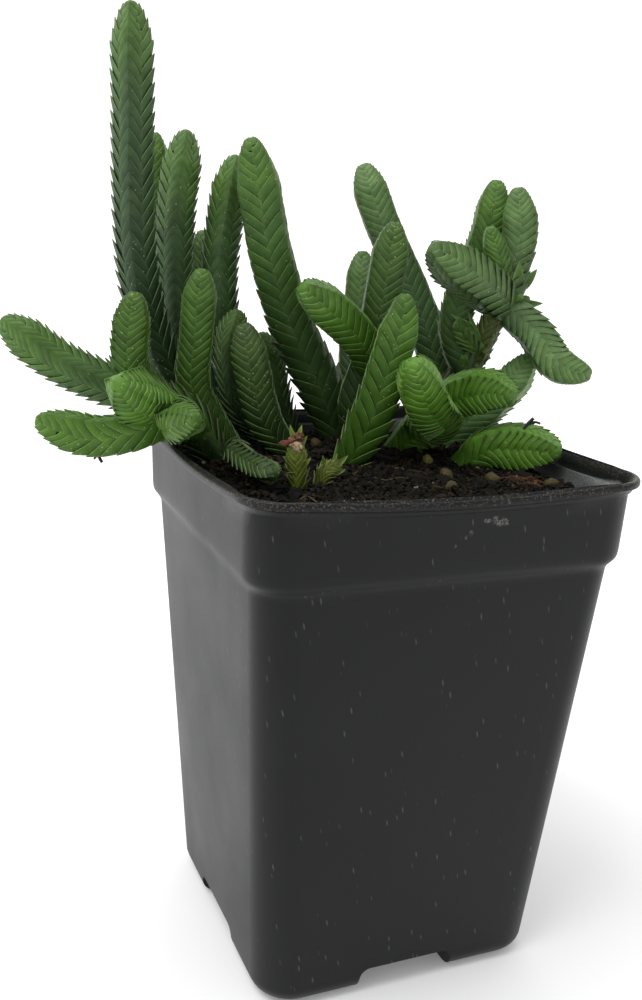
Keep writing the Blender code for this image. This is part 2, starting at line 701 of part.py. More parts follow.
def keep_main_body(item):
    """Drops loose scraps, and fills the small pockets that fusing sealed, by dropping their skins."""
    work = bmesh.new()
    work.from_mesh(item.data)
    unseen = set(work.faces)
    bodies = []
    while unseen:
        body = set()
        edge_of_body = [unseen.pop()]
        while edge_of_body:
            face = edge_of_body.pop()
            body.add(face)
            for edge in face.edges:
                for other in edge.link_faces:
                    if other in unseen:
                        unseen.remove(other)
                        edge_of_body.append(other)
        bodies.append(body)
    bodies.sort(key=len)
    scraps = [face for body in bodies[:-1] for face in body]
    bmesh.ops.delete(work, geom=scraps, context="FACES")
    work.to_mesh(item.data)
    work.free()


def make_spray(name, designs, collection, cutters, material):
    """Several shoots fused into one body: the first stands in the soil."""
    spray = leafy_tube(name, designs[0], collection, material, True)
    shoots = []
    for k, design in enumerate(designs[1:]):
        shoots.append(leafy_tube(f"{name}_{k}", design, cutters, None, False))
    if shoots:
        fuse(spray, shoots)
    return spray


def make_trunk(collection, cutters, material):
    """The woody stem with its six shoots."""
    trunk = woody_tube("spray_trunk", collection, material)
    shoots = []
    for k, design in enumerate(TRUNK_SHOOTS):
        shoots.append(leafy_tube(f"trunk_{k}", design, cutters, None, False))
    return fuse(trunk, shoots)


def add_flowers(sprout, cutters):
    """Dried flower heads, sunk in the small sprout's side."""
    heads = []
    for k, (x, y, z) in enumerate(FLOWERS):
        place = ((AXIS_X + x) * MM, (AXIS_Y + y) * MM, z * MM)
        bpy.ops.mesh.primitive_ico_sphere_add(subdivisions=1, radius=FLOWER_RADIUS * MM, location=place)
        heads.append(own(bpy.context.active_object, f"flower_{k}", cutters))
    fuse(sprout, heads)


def feet_in_soil():
    """Where each stem stands, and the radius of the hole round its foot."""
    routes = [design[4] for design in STEMS.values()] + [shoots[0][4] for shoots in SPRAYS.values()]
    routes.append(TRUNK_ROUTE)
    return [(points[0][0], points[0][1], HOLE_RADIUS) for points in routes]


def main():
    """Builds the pot, its soil and the plant."""
    clear_scene()
    collection = make_collection("potted_watch_chain_crassula")
    cutters = make_collection("cutters")
    plastic = make_material("pot_plastic", (0.035, 0.037, 0.040), 0.48)
    mix = make_material("soil_mix", (0.028, 0.018, 0.011), 0.95)
    make_pot(collection, cutters, plastic)
    make_soil(collection, cutters, mix, feet_in_soil())
    for name, design in STEMS.items():
        leafy_tube(name, design, collection, make_material(name + "_green", design[3], 0.45), True)
    for name, designs in SPRAYS.items():
        green = make_material(name + "_green", designs[0][3], 0.45)
        spray = make_spray(name, designs, collection, cutters, green)
        if name == "sprout_flowered":
            add_flowers(spray, cutters)
    make_trunk(collection, cutters, make_material("spray_trunk_green", GREEN_MID, 0.5))


if __name__ == "__main__":
    main()
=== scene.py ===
"""Looks for a watch chain crassula in a square plastic nursery pot.

The stems are built leaf by leaf along the same routes as the solids, the pot is lofted
again with finer steps, and the soil gets its grain, bark, perlite and fertiliser prills.
Lengths are in millimetres, measured from the pot's own axis, and become metres where a
mesh is made.
"""

import math
import random

import bmesh
import bpy
import numpy as np
from mathutils import Matrix, Vector, noise


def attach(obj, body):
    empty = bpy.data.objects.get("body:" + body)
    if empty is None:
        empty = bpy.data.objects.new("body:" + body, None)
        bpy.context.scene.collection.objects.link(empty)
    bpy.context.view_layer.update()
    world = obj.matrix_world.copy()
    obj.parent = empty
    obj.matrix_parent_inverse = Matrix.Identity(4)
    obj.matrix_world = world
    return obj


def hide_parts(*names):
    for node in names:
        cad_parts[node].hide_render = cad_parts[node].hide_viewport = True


MM = 0.001
AXIS_X = 9.7
AXIS_Y = -9.5

# Starts of the random draws.
SPRAY_SEED = 100
TRUNK_SEED = 200
FLOWER_SEED = 5
PRILL_SEED = 7
FIBRE_SEED = 11

# Camera: its place and nearest sight in metres, where it looks in degrees, and its lens in
# millimetres.
CAMERA_PLACE = (-0.0966, -0.2289, 0.1699)
CAMERA_HEADING = -23.18
CAMERA_DIP = 15.245
CAMERA_ROLL = 3.052
FOCAL_LENGTH = 39.55
CLIP_START = 0.01

# Pot: outer half widths, heights and corner radii, how far its rim bows out and sags, its wall,
# and the angle in degrees past which its faces are creased.
POT_HEIGHT = 117.5
RIM_HALF = 44.5
BAND_TOP_HALF = 42.7
BAND_FOOT_HALF = 42.3
BAND_FOOT_Z = 100.3
BODY_TOP_HALF = 40.5
BODY_TOP_Z = 97.5
FOOT_HALF = 33.9
FOOT_EDGE_RADIUS = 4.5
RIM_CORNER = 10.0
BAND_CORNER = 9.0
BODY_CORNER = 8.2
FOOT_CORNER = 9.1
RIM_BOW = 0.8
RIM_SAG = 1.2
LIP_DEPTH = 3.4
WALL = 1.1
POT_SHARP = 38

# Levels of the pot: heights, the shoulder as shares of its way out and its way up, and how far
# the band and the lip's foot bow out and sag.
FOOT_STEPS = 8
FOOT_CORNER_SHRINK = 0.8
BODY_LEVELS = (15, 30, 45, 60, 75, 88, BODY_TOP_Z - 1.0, BODY_TOP_Z)
SHOULDER = ((0.18, 0.25), (0.50, 0.50), (0.82, 0.75), (0.96, 1.0))
SHOULDER_TOP_Z = BAND_FOOT_Z + 0.4
BAND_LEVELS = (102.0, 105.0, 108.0, 111.0)
BAND_BOW = RIM_BOW * 0.5
BAND_SAG = RIM_SAG * 0.8
INNER_BODY_TOP_Z = BODY_TOP_Z + 0.4
INNER_BAND_FOOT_Z = BAND_FOOT_Z + 0.8
LIP_FOOT_BOW = RIM_BOW * 0.6
LIP_FOOT_CORNER = RIM_CORNER - 1.0

# The flared lip, as places out from its rim and up from the pot's height.
LIP_OUTSIDE = [
    (-1.5, -2.8), (-1.2, -2.25), (-0.8, -1.85), (-0.35, -1.62), (-0.1, -1.48), (0.0, -1.2), (0.0, -0.65),
    (-0.1, -0.3), (-0.3, -0.08), (-0.55, 0.0)]
LIP_INSIDE = [(-2.6, -2.8), (-2.3, -1.9), (-1.85, -1.0), (-1.4, -0.35), (-1.1, -0.08), (-0.95, 0.0)]

# Corners and sides of the pot's outline, the channels under it, its drain holes, and how far
# the forms that are cut out of it run on past it.
CORNER_STEPS = 10
SIDE_STEPS = 12
CHANNEL_HALF = 11.5
CHANNEL_HEIGHT = 6.0
CHANNEL_ROUND = 2.5
CHANNEL_STEPS = 6
CHANNEL_FLARE = 1.0
CUT_PAST = 10.0
DRAIN_RADIUS = 4.0
DRAIN_FROM_AXIS = 17.0
DRAIN_SIDES = 32
DRAIN_CUT = 6 * WALL
HOLLOW_PAST = 3.0

# Pot plastic: its dark and light, and the colours and heights of what marks it.
PLASTIC = ((13, 14, 15), (19, 20, 22))
STRETCH_MARK = (150, 150, 148)
STRETCH_TILT = math.radians(13)
STRETCH = (1.0, 1.0, 0.22)
# Dust on the pot's inner wall, made paler as painted light: a pale mottle, full towards the rim and fainter
# down towards the soil.
DUST_AND_PAINTED_LIGHT = (172, 175, 176)
DUST_AND_LIGHT_Z = (108.5, 110.0)
DUST_AND_LIGHT_FULL_Z = (112.0, 114.5)
DUST_AND_LIGHT_LEAST = 0.55
DUST_AND_LIGHT_FROM_WALL = (0.5, 0.9)
LIP_CRUMB = (126, 118, 102)
LIP_CRUMB_Z = (114.5, 116.5)
MINERAL = (150, 148, 142)
SCUFF_DEPTH = 3.0

# Dried mineral water on the front of the band and lip: place across and up, half sizes and
# strength.
SCUFFS = [
    (7.9, 110.9, 1.9, 0.9, 0.75), (6.6, 111.7, 0.9, 0.5, 0.5), (4.6, 111.4, 1.1, 0.5, 0.65),
    (4.6, 115.2, 0.5, 0.3, 0.5), (6.4, 115.6, 0.4, 0.25, 0.5), (8.0, 115.4, 0.35, 0.2, 0.4),
    (1.4, 108.8, 0.5, 0.7, 0.35), (0.4, 108.2, 0.35, 0.5, 0.3), (-1.7, 106.4, 0.35, 0.45, 0.35),
]

# Soil: its levels, how lumpy and how finely broken its top is, its gap from the pot, and its
# dark, light and crumb colours.
SOIL_Z = 112.0
SOIL_FOOT_Z = 9.0
SOIL_LUMP = 0.7
SOIL_SLOPE = 0.03
SOIL_EDGE_FALL = 1.2
SOIL_EDGE = 0.8
SOIL_EDGE_SPAN = 0.2
SOIL_RINGS = 62
SOIL_RING_POWER = 0.85
SOIL_BROKEN = 0.55
SOIL_GRAIN = 0.25
SOIL_SHARP = 80
GAP = 0.3
SOIL_MIX = ((10, 9, 7), (21, 20, 14))
SOIL_CRUMB = (42, 40, 30)

# Litter on the soil, with its colours. A lump is stretched along and across by a random share,
# and most lumps of a kind are small, while the rest are up to 1.4 times as large.
LUMP_LONG = (0.7, 1.5)
LUMP_WIDE = (0.6, 1.0)
LUMP_REACH = 1.6
LUMP_LIFT = 0.2
LUMP_RISES = (-0.2, 0.7)
LUMP_SHADES = (0.7, 1.25)
SMALL_SHARE = 0.8
BIG_SCALE = 1.4
PRILL_RADIUS = 1.75
PRILL_SCALE = 0.92
PRILL_LIFT = 0.9
PRILL_SHADES = (0.9, 1.1)
PRILLS = [(15.5, 2.5), (12.5, -12), (35, -20), (9, -20.5), (22, -16), (23, 33), (-5, 22), (38, 30)]
PRILL_PALE = (126, 117, 63)
# The other prills' colour: a darker copy of the pale one, painted shade.
PRILL_IN_SHADE = (80, 71, 42)
BARK_BROWNS = [(16, 15, 11), (24, 21, 14), (34, 28, 18), (12, 11, 9), (46, 37, 25)]
PERLITE = [(150, 146, 134), (120, 116, 100)]
COIR = [(74, 58, 38), (52, 40, 26), (96, 78, 52), (40, 32, 22)]
TUFT = [(84, 54, 38), (62, 40, 30), (104, 72, 50)]
TUFT_PLACE = (29.5, -17.5)
TUFT_REACH = 3.6
THREAD_STEPS = 7
THREAD_SIDES = 5
THREAD_BEND = 1.2
THREAD_LIFT = 0.5
THREAD_ARCH = 0.7
THREAD_ARCHES = (0.3, 1.6)
THREAD_SHADES = (0.7, 1.3)

# A leaf's outline: its edge runs down from its tip to the groove by a length and a share of
# the spacing, it reaches round from its keel by an angle, and its tip has a small point.
DROP_LENGTH = 1.3
DROP_SHARE = 1.03
DROP_VARIES = (0.94, 1.06)
REACH = math.radians(49)
QUARTER = math.radians(45)
LEAF_LENGTH = 1.7
LEAF_ASKEW = 1.5
LEAF_SWELLS = (0.99, 1.01)
POINT_LENGTH = 0.08
POINT_OPEN = 0.30
POINT_WIDTH = 0.22
LEAF_LIP = 0.2

# Spacings from which a leaf's edge is straight, and over which it becomes round.
STRAIGHT_SPACING = 2.7
ROUND_SPAN = 0.7

# A shoot's section: the depth of its grooves, how sharp its keels are, and how much fuller
# it is where it is turned corner on.
GROOVE = 0.73
KEEL = 0.62
KEEL_SOFT = 0.004
SQUARE_SWELL = 0.07
SQUARE_TURNS = (20.0, 45.0)

# How a leaf stands off its shoot: the step from its edge in to its root, the bead along its
# edge, how far it opens and the tooth at its tip, for round leaves and for widely set ones.
STEP_SHARE = 0.135
STEP_POWER = 1.4
BEAD = 0.01
BEAD_ROUND = 0.05
BEAD_LENGTH = 0.16
OPEN_OUT = 0.30
OPEN_ALWAYS = 0.06
OPEN_AGES = (0.1, 0.9)
OPEN_VARIES = (0.7, 1.3)
OPEN_LENGTH = 1.9
TOOTH = 0.36
TOOTH_WIDE = 0.04
TOOTH_LENGTH = 0.9
TOOTH_WIDTH = 0.34

# A leaf's thickness at its edge, how fast it grows from there, and the most it comes to. Then
# how near the middle of its shoot it may reach.
EDGE_THICK = 0.18
THICK_GROWS = 0.30
MOST_THICK = 0.95
LEAST_RADIUS = 0.12

# A whole shoot: its core, the taper at its foot, the shape of its tip and its crown, how finely
# its route is read, and the angle in degrees past which its faces are creased.
CORE = 0.60
CORE_AT_TIP = 0.93
CORE_SIDES = 10
CORE_STEP = 2.5
CORE_TIP = 2.6
CORE_TIP_STOPS = np.array([1.8, 1.1, 0.6, 0.3, 0.15])
ROOT_DEPTH = 5.0
BRANCH_START = 3.0
BRANCH_SLIMNESS = 0.9
FOOT_TAPER = 11.0
FOOT_SLIMNESS = 0.68
TOP_LEAF = 0.05
LOWEST_LEAF = 1.2
LEAF_UNEVEN = 0.06
YOUNGEST = 0.3
BRANCH_CORE_START = 1.0
CONE_TIP = 0.9
ROUND_TIP = 0.68
TIP_POWER = 0.42
BLUNT_TIP = 0.0004
CROWN = 7.0
ROUTE_STEPS = 24
HEADING_REACH = 1.5
LEAF_SHARP = 50

# Single long leaves: their mesh, and their thickness in the middle and at the edge. Then the
# mesh of root threads.
BLADE_ROWS = 9
BLADE_COLUMNS = 7
BLADE_THICK = 0.5
BLADE_EDGE = 0.05
TWIG_STOPS = 9
TWIG_SIDES = 6

# Columns of a leaf across its width, and rows up its outer and inner faces, as shares of
# the way from its edge down to its root.
ACROSS = np.array([-1.0, -0.72, -0.45, -0.2, 0.0, 0.2, 0.45, 0.72, 1.0])
OUTER_ROWS = [1.0, 0.62, 0.42, 0.25, 0.12]
INNER_ROWS = [0.0, 0.25, 1.0]

# The side of the plant that each stem's first rank of leaves is measured from.
FRONT = np.array((-0.394, -0.919, 0.0))

# Leaf colours from the tip of a stem to its foot, as red, green and blue out of 255.
# Lighter at the tip and darker towards the foot, partly from the leaves' age and partly as
# painted shade low among the stems; the silver palette's bluer grey-green is partly a
# painted sheen.
PALETTES = {
    "deep": [(88, 122, 56), (66, 94, 54), (48, 72, 44)],
    "mid": [(78, 114, 42), (62, 94, 38), (46, 70, 34)],
    "bright": [(78, 118, 34), (68, 106, 30), (54, 84, 30)],
    "silver": [(100, 132, 74), (78, 106, 62), (56, 82, 48)],
    "old": [(84, 98, 44), (66, 74, 38), (56, 56, 34)],
    "yellow": [(112, 128, 44), (88, 104, 38), (62, 70, 30)],
}
DRYNESS = {"yellow": 0.5, "deep": 1.8, "mid": 1.6, "bright": 0.3, "silver": 0.6, "old": 1.6}
PALE_EDGE = (150, 176, 118)
DRY_EDGE = (74, 44, 34)
BARE_STEM = (70, 62, 40)
FADE_NEAR = 22.0
FADE_FAR_START = FADE_NEAR * 0.6
FADE_FAR = 60.0
GREEN_VARIES = (0.86, 1.14)
DRYNESS_VARIES = (0.2, 1.3)
PORE = (186, 204, 160)

# Each stem: width across its leaves, turn of its first rank in degrees, how far its lower
# leaves stand open, palette, spacing of its leaves at the tip and at the foot, its painted
# light and shade there as shares of its palette's green (below 1 where the stem stands in
# shade, above 1 where it stands in light), and the route of its middle from the soil up.
STEMS = {
    "stem_tall": (9.9, 0, 0.16, "deep", (2.8, 3.7), (0.85, 0.9), [
        (-32, 30, 112), (-42, 34, 134), (-46.3, 35, 152), (-47.3, 36, 172), (-47.3, 37, 191),
        (-47.3, 39, 210)]),
    "stem_tall_right": (9.6, 8, 0.1, "deep", (2.6, 3.3), (1.0, 1.0), [
        (-21, 31, 112), (-33, 41, 131), (-35, 44, 147), (-34.5, 46, 165), (-31.5, 48.5, 184.5)]),
    "stem_tall_back": (7.4, 45, 0.1, "mid", (2.2, 2.8), (1.0, 1.0), [
        (-32, 36, 112), (-36.5, 42, 123), (-38.5, 50, 132), (-36.5, 58, 161), (-36, 61, 184)]),
    "stem_left_bright": (9.0, 45, 0.0, "bright", (1.8, 2.6), (0.75, 0.7), [
        (-27, 18, 112), (-36, 21, 126), (-36, 21, 140), (-35, 21, 154)]),
    "stem_dark": (9.3, 5, 0.16, "deep", (2.6, 3.3), (1.1, 1.2), [
        (-12, 29.5, 112), (-22.5, 39, 132), (-24.5, 42, 149), (-22.5, 45, 164), (-19.5, 46.5, 179.5)]),
    "stem_dark_back": (7.0, 45, 0.0, "silver", (2.0, 2.6), (1.0, 1.0), [
        (-18, 37, 112), (-19, 42.5, 122), (-22, 53, 133), (-23, 59, 146), (-23, 62, 161)]),
    "stem_arching": (12.2, 45, 0.65, "mid", (2.6, 3.8), (1.0, 2.0), [
        (4, 30, 112), (0, 31.8, 124), (-4.5, 33.5, 133), (-9, 34.5, 142), (-14.3, 34.7, 158),
        (-17, 35.5, 171), (-19.5, 36.5, 183.3)]),
    "stem_middle": (9.9, 45, 0.0, "mid", (1.8, 2.6), (0.55, 0.45), [
        (-14, 16, 112), (-20, 18, 120), (-23, 19, 131), (-25, 21, 142)]),
    "stem_middle_left": (7.8, 0, 0.1, "deep", (2.0, 2.6), (0.7, 0.7), [
        (-14, 25, 112), (-23, 28, 122), (-25, 30, 134), (-23, 31, 144)]),
    "stem_middle_right": (8.0, 0, 0.4, "deep", (2.2, 2.8), (0.7, 0.7), [
        (-6, 37, 112), (-9, 40, 121), (-10, 43, 129), (-12.5, 44.5, 137)]),
    "stem_centre_back": (9.2, 45, 0.0, "silver", (1.8, 2.4), (0.9, 0.9), [
        (13, 36, 112), (12.9, 42.6, 128), (15.3, 46.9, 143), (17.3, 49.9, 157.6)]),
    "stem_leaning": (11.1, 45, 0.1, "silver", (1.8, 3.4), (1.0, 1.2), [
        (31, 34, 112), (36, 36, 123), (33, 39, 136), (29, 43.3, 148), (23.1, 47.2, 161),
        (19.6, 50.8, 171), (17.5, 53.8, 179.6)]),
    "stem_front": (10.4, 45, 0.7, "bright", (2.4, 4.2), (0.75, 1.4), [
        (-4, 5, 112), (-2, 4, 117), (1, 3, 125), (3.5, 2, 136), (5.5, 1.5, 145), (6, 1.5, 151)]),
    "stem_right_low": (12, 45, 0.0, "bright", (2.0, 2.6), (1.3, 1.5), [
        (25, 1, 112), (29, -2.5, 116.3), (35, -7.5, 117.1), (40, -15, 117.4)]),
    "stem_right_back": (10.5, 20, 0.2, "silver", (1.8, 2.4), (1.3, 1.5), [
        (31, 20, 112), (37.8, 16.7, 120.5), (44.4, 15.6, 127.2), (49.4, 14.6, 135.2)]),
    "stem_fallen": (6.3, 20, 0.2, "deep", (2.0, 2.4), (0.4, 0.4), [
        (-29, 7, 112), (-33, 1, 116.7), (-33, -8, 116.7), (-31, -20, 116.5)]),
    "sprout_small": (5.0, 45, 0.8, "yellow", (1.5, 1.8), (0.9, 0.8), [
        (-18, -12, 112), (-16.5, -12, 115), (-13, -11.2, 116.2)]),
}

# Sprays: the first route stands in the soil, the others grow from it.
SPRAYS = {
    "spray_left": [
        (9.8, 20, 0.4, "mid", (2.2, 3.0), (1.0, 1.3), [
            (-33, 13, 112), (-39, 14, 120.5), (-47, 18, 125.5), (-56, 24, 128), (-65.5, 30, 132.2),
            (-77, 35.5, 140.8)]),
        (9.2, 45, 0.3, "bright", (1.6, 2.2), (0.66, 0.7), [
            (-41, 13, 120), (-47, 15, 126), (-51.7, 16, 132), (-52, 16.8, 140), (-51, 16.8, 149)]),
        (9.9, 45, 0.1, "bright", (2.4, 3.2), (1.0, 1.0), [
            (-39, 12, 120), (-43, 9, 123), (-48, 8, 122.4), (-54, 7.5, 120.4), (-62, 10, 119.2),
            (-73, 14, 122.2)]),
        (11.6, 45, 0.0, "bright", (1.7, 2.3), (1.15, 1.2), [
            (-41, 13, 120), (-47, 10, 124), (-53.5, 5, 128), (-59.1, -2.2, 132.5)]),
        (8.7, 45, 0.0, "bright", (1.6, 2.1), (0.8, 0.75), [
            (-41, 13, 120), (-45, 6, 122.5), (-46, -2, 124), (-44, -9, 126)]),
    ],
    "spray_centre": [
        (10.4, 45, 0.1, "mid", (1.9, 2.8), (0.68, 0.8), [
            (5, 17, 112), (3, 18, 122), (6, 17, 135), (8, 17, 150), (10, 17, 166)]),
        (10.9, 45, 0.0, "bright", (1.9, 2.6), (1.0, 1.1), [
            (6, 16, 132), (1, 13, 139), (-6, 11, 144.8), (-15.9, 9.7, 151.6)]),
    ],
    "spray_right": [
        (12, 45, 0.0, "bright", (1.7, 2.2), (1.3, 2.2), [
            (15, 17, 112), (19, 12, 119), (17.5, 4, 122.5), (9.2, -6, 128), (2.2, -11.4, 138)]),
        (11.8, 45, 0.0, "bright", (1.7, 2.1), (1.1, 1.3), [
            (18, 10, 121), (24, 5, 127), (28, -1, 129), (31, -8, 129)]),
    ],
    "sprout_flowered": [
        (5.8, 45, 0.9, "yellow", (1.6, 2.2), (0.9, 0.7), [
            (-24.1, -14.3, 112), (-24.3, -14.3, 117), (-25, -14.3, 122.5)]),
    ],
}

# The woody stem on the right: its bare length with rings of old scars, and the shoots that
# grow from it.
TRUNK_ROUTE = [(21, 26, 112), (28, 24, 122), (35, 20, 132), (38, 18, 141), (41, 17, 149)]
TRUNK_RADIUS = 2.8
TRUNK_SKIN = 0.7
TRUNK_RINGS = 70
TRUNK_SIDES = 14
TRUNK_SHOOTS = [
    (9.4, 45, 0.3, "mid", (1.7, 2.4), (1.1, 1.2), [
        (34, 20, 130), (32, 24, 140), (34.4, 25.8, 150), (38.5, 25.8, 160), (40.5, 25.8, 168),
        (42, 26.8, 177)]),
    (10.6, 38, 0.4, "silver", (1.7, 3.0), (0.85, 0.9), [
        (41, 17, 147), (42.5, 17.2, 156), (44.5, 18.2, 165), (43.5, 19.2, 175.5)]),
    (12, 62, 0.2, "silver", (2.0, 2.6), (0.82, 0.9), [
        (41, 17, 147), (32, 14, 152.5), (24, 13, 156.9), (17.2, 12.3, 161)]),
    (6.4, 45, 0.0, "mid", (1.6, 2.0), (1.0, 1.0), [(41, 17, 148), (38, 15, 156), (34, 15, 166)]),
    (10.4, 40, 0.12, "silver", (1.8, 2.3), (1.0, 1.0), [
        (41, 17, 147), (47, 11.3, 141.3), (51, 5.8, 134.3), (57.5, 0.3, 132.1)]),
    (6.7, 20, 0.5, "deep", (2.0, 2.8), (0.9, 0.9), [(37, 19, 135), (33, 18, 139), (29, 19, 143)]),
]

# The withered shoot that still clings to the woody stem, and its buds, each with its width,
# palette, foot and tip.
WITHERED_WIDTH = 6.8
BUD_START = 0.3
BUDS = [
    (3.6, "old", (37.0, 18.6, 135.2), (35.8, 14.6, 136.0)),
    (3.2, "silver", (38.6, 18.2, 139.5), (38.0, 14.6, 140.0)),
    (3.4, "old", (35.6, 19.4, 131.5), (34.6, 15.9, 132.4)),
    (3.0, "old", (36.4, 19.0, 138.0), (33.4, 16.4, 138.2)),
    (4.6, "deep", (41.6, 17.0, 148.0), (42.9, 11.6, 150.0)),
    (3.6, "silver", (41.6, 16.5, 145.0), (42.3, 12.3, 145.6)),
    (4.4, "deep", (42.6, 16.4, 147.4), (46.6, 13.6, 149.2)),
    (3.2, "bright", (33.6, 19.6, 131.0), (31.2, 17.6, 134.6)),
]

# Single long leaves that stand free, each with its foot, tip, width, bend and palette.
BLADES = {
    "spray_trunk": [
        ((35.4, 18.0, 140.4), (27.8, 19.0, 144.6), 1.9, 0.5, "silver"),
        ((35.2, 17.8, 139.6), (28.8, 17.4, 141.9), 1.6, -0.4, "silver"),
        ((34.8, 18.0, 139.9), (31.6, 17.6, 145.4), 1.5, 0.4, "mid"),
        ((43.8, 15.0, 151.0), (46.8, 12.4, 156.4), 3.0, 0.6, "deep"),
        ((42.6, 14.2, 150.6), (41.4, 12.0, 158.0), 3.4, 0.4, "deep"),
        ((44.2, 15.8, 147.6), (49.6, 12.6, 148.2), 2.4, 0.5, "deep"),
        ((43.9, 15.2, 145.6), (49.2, 12.4, 144.8), 2.2, 0.4, "deep"),
    ],
    "sprout_flowered": [
        ((-24.6, -14.3, 120.5), (-26.2, -14.2, 125.4), 1.5, 0.4, "yellow"),
        ((-24.8, -14.3, 121.0), (-23.4, -13.7, 125.2), 1.5, 0.3, "yellow"),
        ((-24.5, -14.2, 119.5), (-22.0, -13.4, 122.8), 1.4, -0.4, "yellow"),
        ((-24.3, -14.4, 117.5), (-27.5, -14.5, 118.8), 1.8, 0.5, "yellow"),
        ((-24.2, -14.6, 116.0), (-21.4, -14.6, 118.4), 1.6, 0.4, "yellow"),
        ((-24.2, -14.8, 114.5), (-26.9, -16.0, 115.8), 1.8, 0.4, "old"),
    ],
    "sprout_small": [
        ((-15.5, -12.0, 114.8), (-12.0, -12.4, 118.0), 1.4, 0.4, "yellow"),
        ((-16.0, -12.0, 114.8), (-14.6, -12.6, 118.6), 1.4, 0.3, "yellow"),
        ((-16.6, -12.0, 114.4), (-17.8, -12.4, 118.2), 1.4, 0.3, "yellow"),
        ((-15.5, -12.2, 114.0), (-12.6, -13.0, 115.2), 1.4, 0.3, "yellow"),
    ],
}

# Dark root threads caught on two of the pieces, each as a route and a radius.
TWIG_BROWN = (34, 28, 24)
TWIGS = {
    "spray_left": [
        ([(-59.8, 11.4, 116.4), (-60.2, 11.2, 114.6), (-59.4, 11.4, 112.9)], 0.35),
        ([(-59.9, 11.3, 114.6), (-60.6, 11.1, 114.3), (-61.2, 10.9, 113.8)], 0.25),
    ],
    "stem_right_low": [
        ([(33.2, -9.3, 121.6), (34.2, -9.6, 123.2), (35.2, -9.9, 124.3)], 0.4),
        ([(34.2, -9.6, 122.9), (35.6, -10.0, 123.4), (36.8, -10.4, 123.1)], 0.3),
    ],
}

# Dried flower heads on the small front sprout, with the colour of each.
FLOWER_SIZE = 1.15
FLOWER_LUMPS = 7
FLOWER_SCALES = (0.45, 0.7)
FLOWER_SPREAD = 0.7
FLOWER_SHADES = (0.6, 1.3)
FLOWERS = [
    ((-26.6, -14.9, 122.0), (112, 66, 48)), ((-25.3, -16.0, 121.2), (172, 150, 122)),
    ((-24.6, -15.0, 122.8), (92, 58, 42)),
]

# Floor, world and key light. Directions are towards the bright side, and along the light.
FLOOR_RADIUS = 4.0
FLOOR_SIDES = 96
FLOOR_DROP = 0.0002
# Painted shade: the floor is greyer in front of the pot, so that the pot's front reflects a darker floor,
# and whiter behind it.
FLOOR_FRONT = 0.78
FLOOR_BACK = 0.94
FLOOR_BEHIND = (-0.39, 0.92, 0.0)
FLOOR_FADE = 0.12
# Painted light: the floor glows a little to lift the shadows on it.
FLOOR_GLOW = 0.12
BRIGHT_SIDE = (-0.30, 0.92, 0.25)
WORLD_DIM = 0.68
WORLD_BRIGHT = 1.35
WORLD_FADE = 0.75
KEY_STRENGTH = 1.1
KEY_WIDTH = math.radians(28)
KEY_DIRECTION = (0.42, 0.12, -0.90)
WHITE = (1.0, 1.0, 1.0, 1.0)


def linear(colour):
    """A colour out of 255 as the linear values that shaders use."""
    made = []
    for value in colour:
        share = value / 255
        made.append(share / 12.92 if share <= 0.04045 else ((share + 0.055) / 1.055) ** 2.4)
    return np.array(made)


def smooth(value, low, high):
    """A smooth step from 0 at low to 1 at high."""
    share = np.clip((value - low) / (high - low), 0.0, 1.0)
    return share * share * (3 - 2 * share)


def blend(first, second, share):
    """One value or colour mixed into another by a share."""
    return first * (1 - share) + second * share


class Tree:
    """A short way to write a shader: adds nodes, sets their inputs and links them."""

    def __init__(self, owner):
        owner.use_nodes = True
        self.tree = owner.node_tree
        self.tree.nodes.clear()

    def add(self, kind, settings=None, **inputs):
        """A node of a kind, with its settings, and inputs that are values or other nodes' outputs."""
        made = self.tree.nodes.new(kind)
        for key, value in (settings or {}).items():
            setattr(made, key, value)
        for key, value in inputs.items():
            self.join(made, key.replace("_", " "), value)
        return made

    def join(self, made, key, value):
        """Sets one input of a node, by its name or its number."""
        socket = made.inputs[int(key) if key.isdigit() else key]
        if isinstance(value, bpy.types.NodeSocket):
            self.tree.links.new(value, socket)
        else:
            socket.default_value = value

    def maths(self, operation, first, second=0.0):
        """The result of a sum on one or two values."""
        made = self.add("ShaderNodeMath", {"operation": operation})
        self.join(made, "0", first)
        self.join(made, "1", second)
        return made.outputs[0]

    def times(self, first, second):
        """Two values multiplied."""
        return self.maths("MULTIPLY", first, second)

    def vector(self, operation, first, second=None):
        """The result of a sum on one or two vectors."""
        made = self.add("ShaderNodeVectorMath", {"operation": operation})
        self.join(made, "0", first)
        if second is not None:
            self.join(made, "1", second)
        return made.outputs["Value" if operation in ("DOT_PRODUCT", "LENGTH") else "Vector"]

    def mix(self, share, first, second, blend_type="MIX"):
        """Two colours mixed by a share."""
        made = self.add("ShaderNodeMix", {"data_type": "RGBA", "blend_type": blend_type})
        for key, value in (("0", share), ("6", first), ("7", second)):
            self.join(made, key, value)
        return made.outputs[2]

    def ramp(self, value, low, high, bottom=0.0, top=1.0):
        """A value moved from one range to another, and kept inside it."""
        made = self.add("ShaderNodeMapRange")
        for key, number in zip(("0", "1", "2", "3", "4"), (value, low, high, bottom, top)):
            self.join(made, key, number)
        return made.outputs[0]

    def noise(self, place, scale, detail=2.0, roughness=0.5):
        """Soft noise at a number of lumps to the metre."""
        made = self.add("ShaderNodeTexNoise", Vector=place, Scale=scale, Detail=detail, Roughness=roughness)
        return made.outputs["Fac"]

    def cells(self, place, scale):
        """The distance to the nearest of a set of scattered points."""
        return self.add("ShaderNodeTexVoronoi", Vector=place, Scale=scale).outputs["Distance"]

    def shade(self):
        """The colour that the mesh holds at each point."""
        return self.add("ShaderNodeAttribute", {"attribute_name": "shade"}).outputs["Color"]


def rgba(colour):
    """A colour out of 255 as a shader socket's value."""
    return (*[float(value) for value in linear(colour)], 1.0)


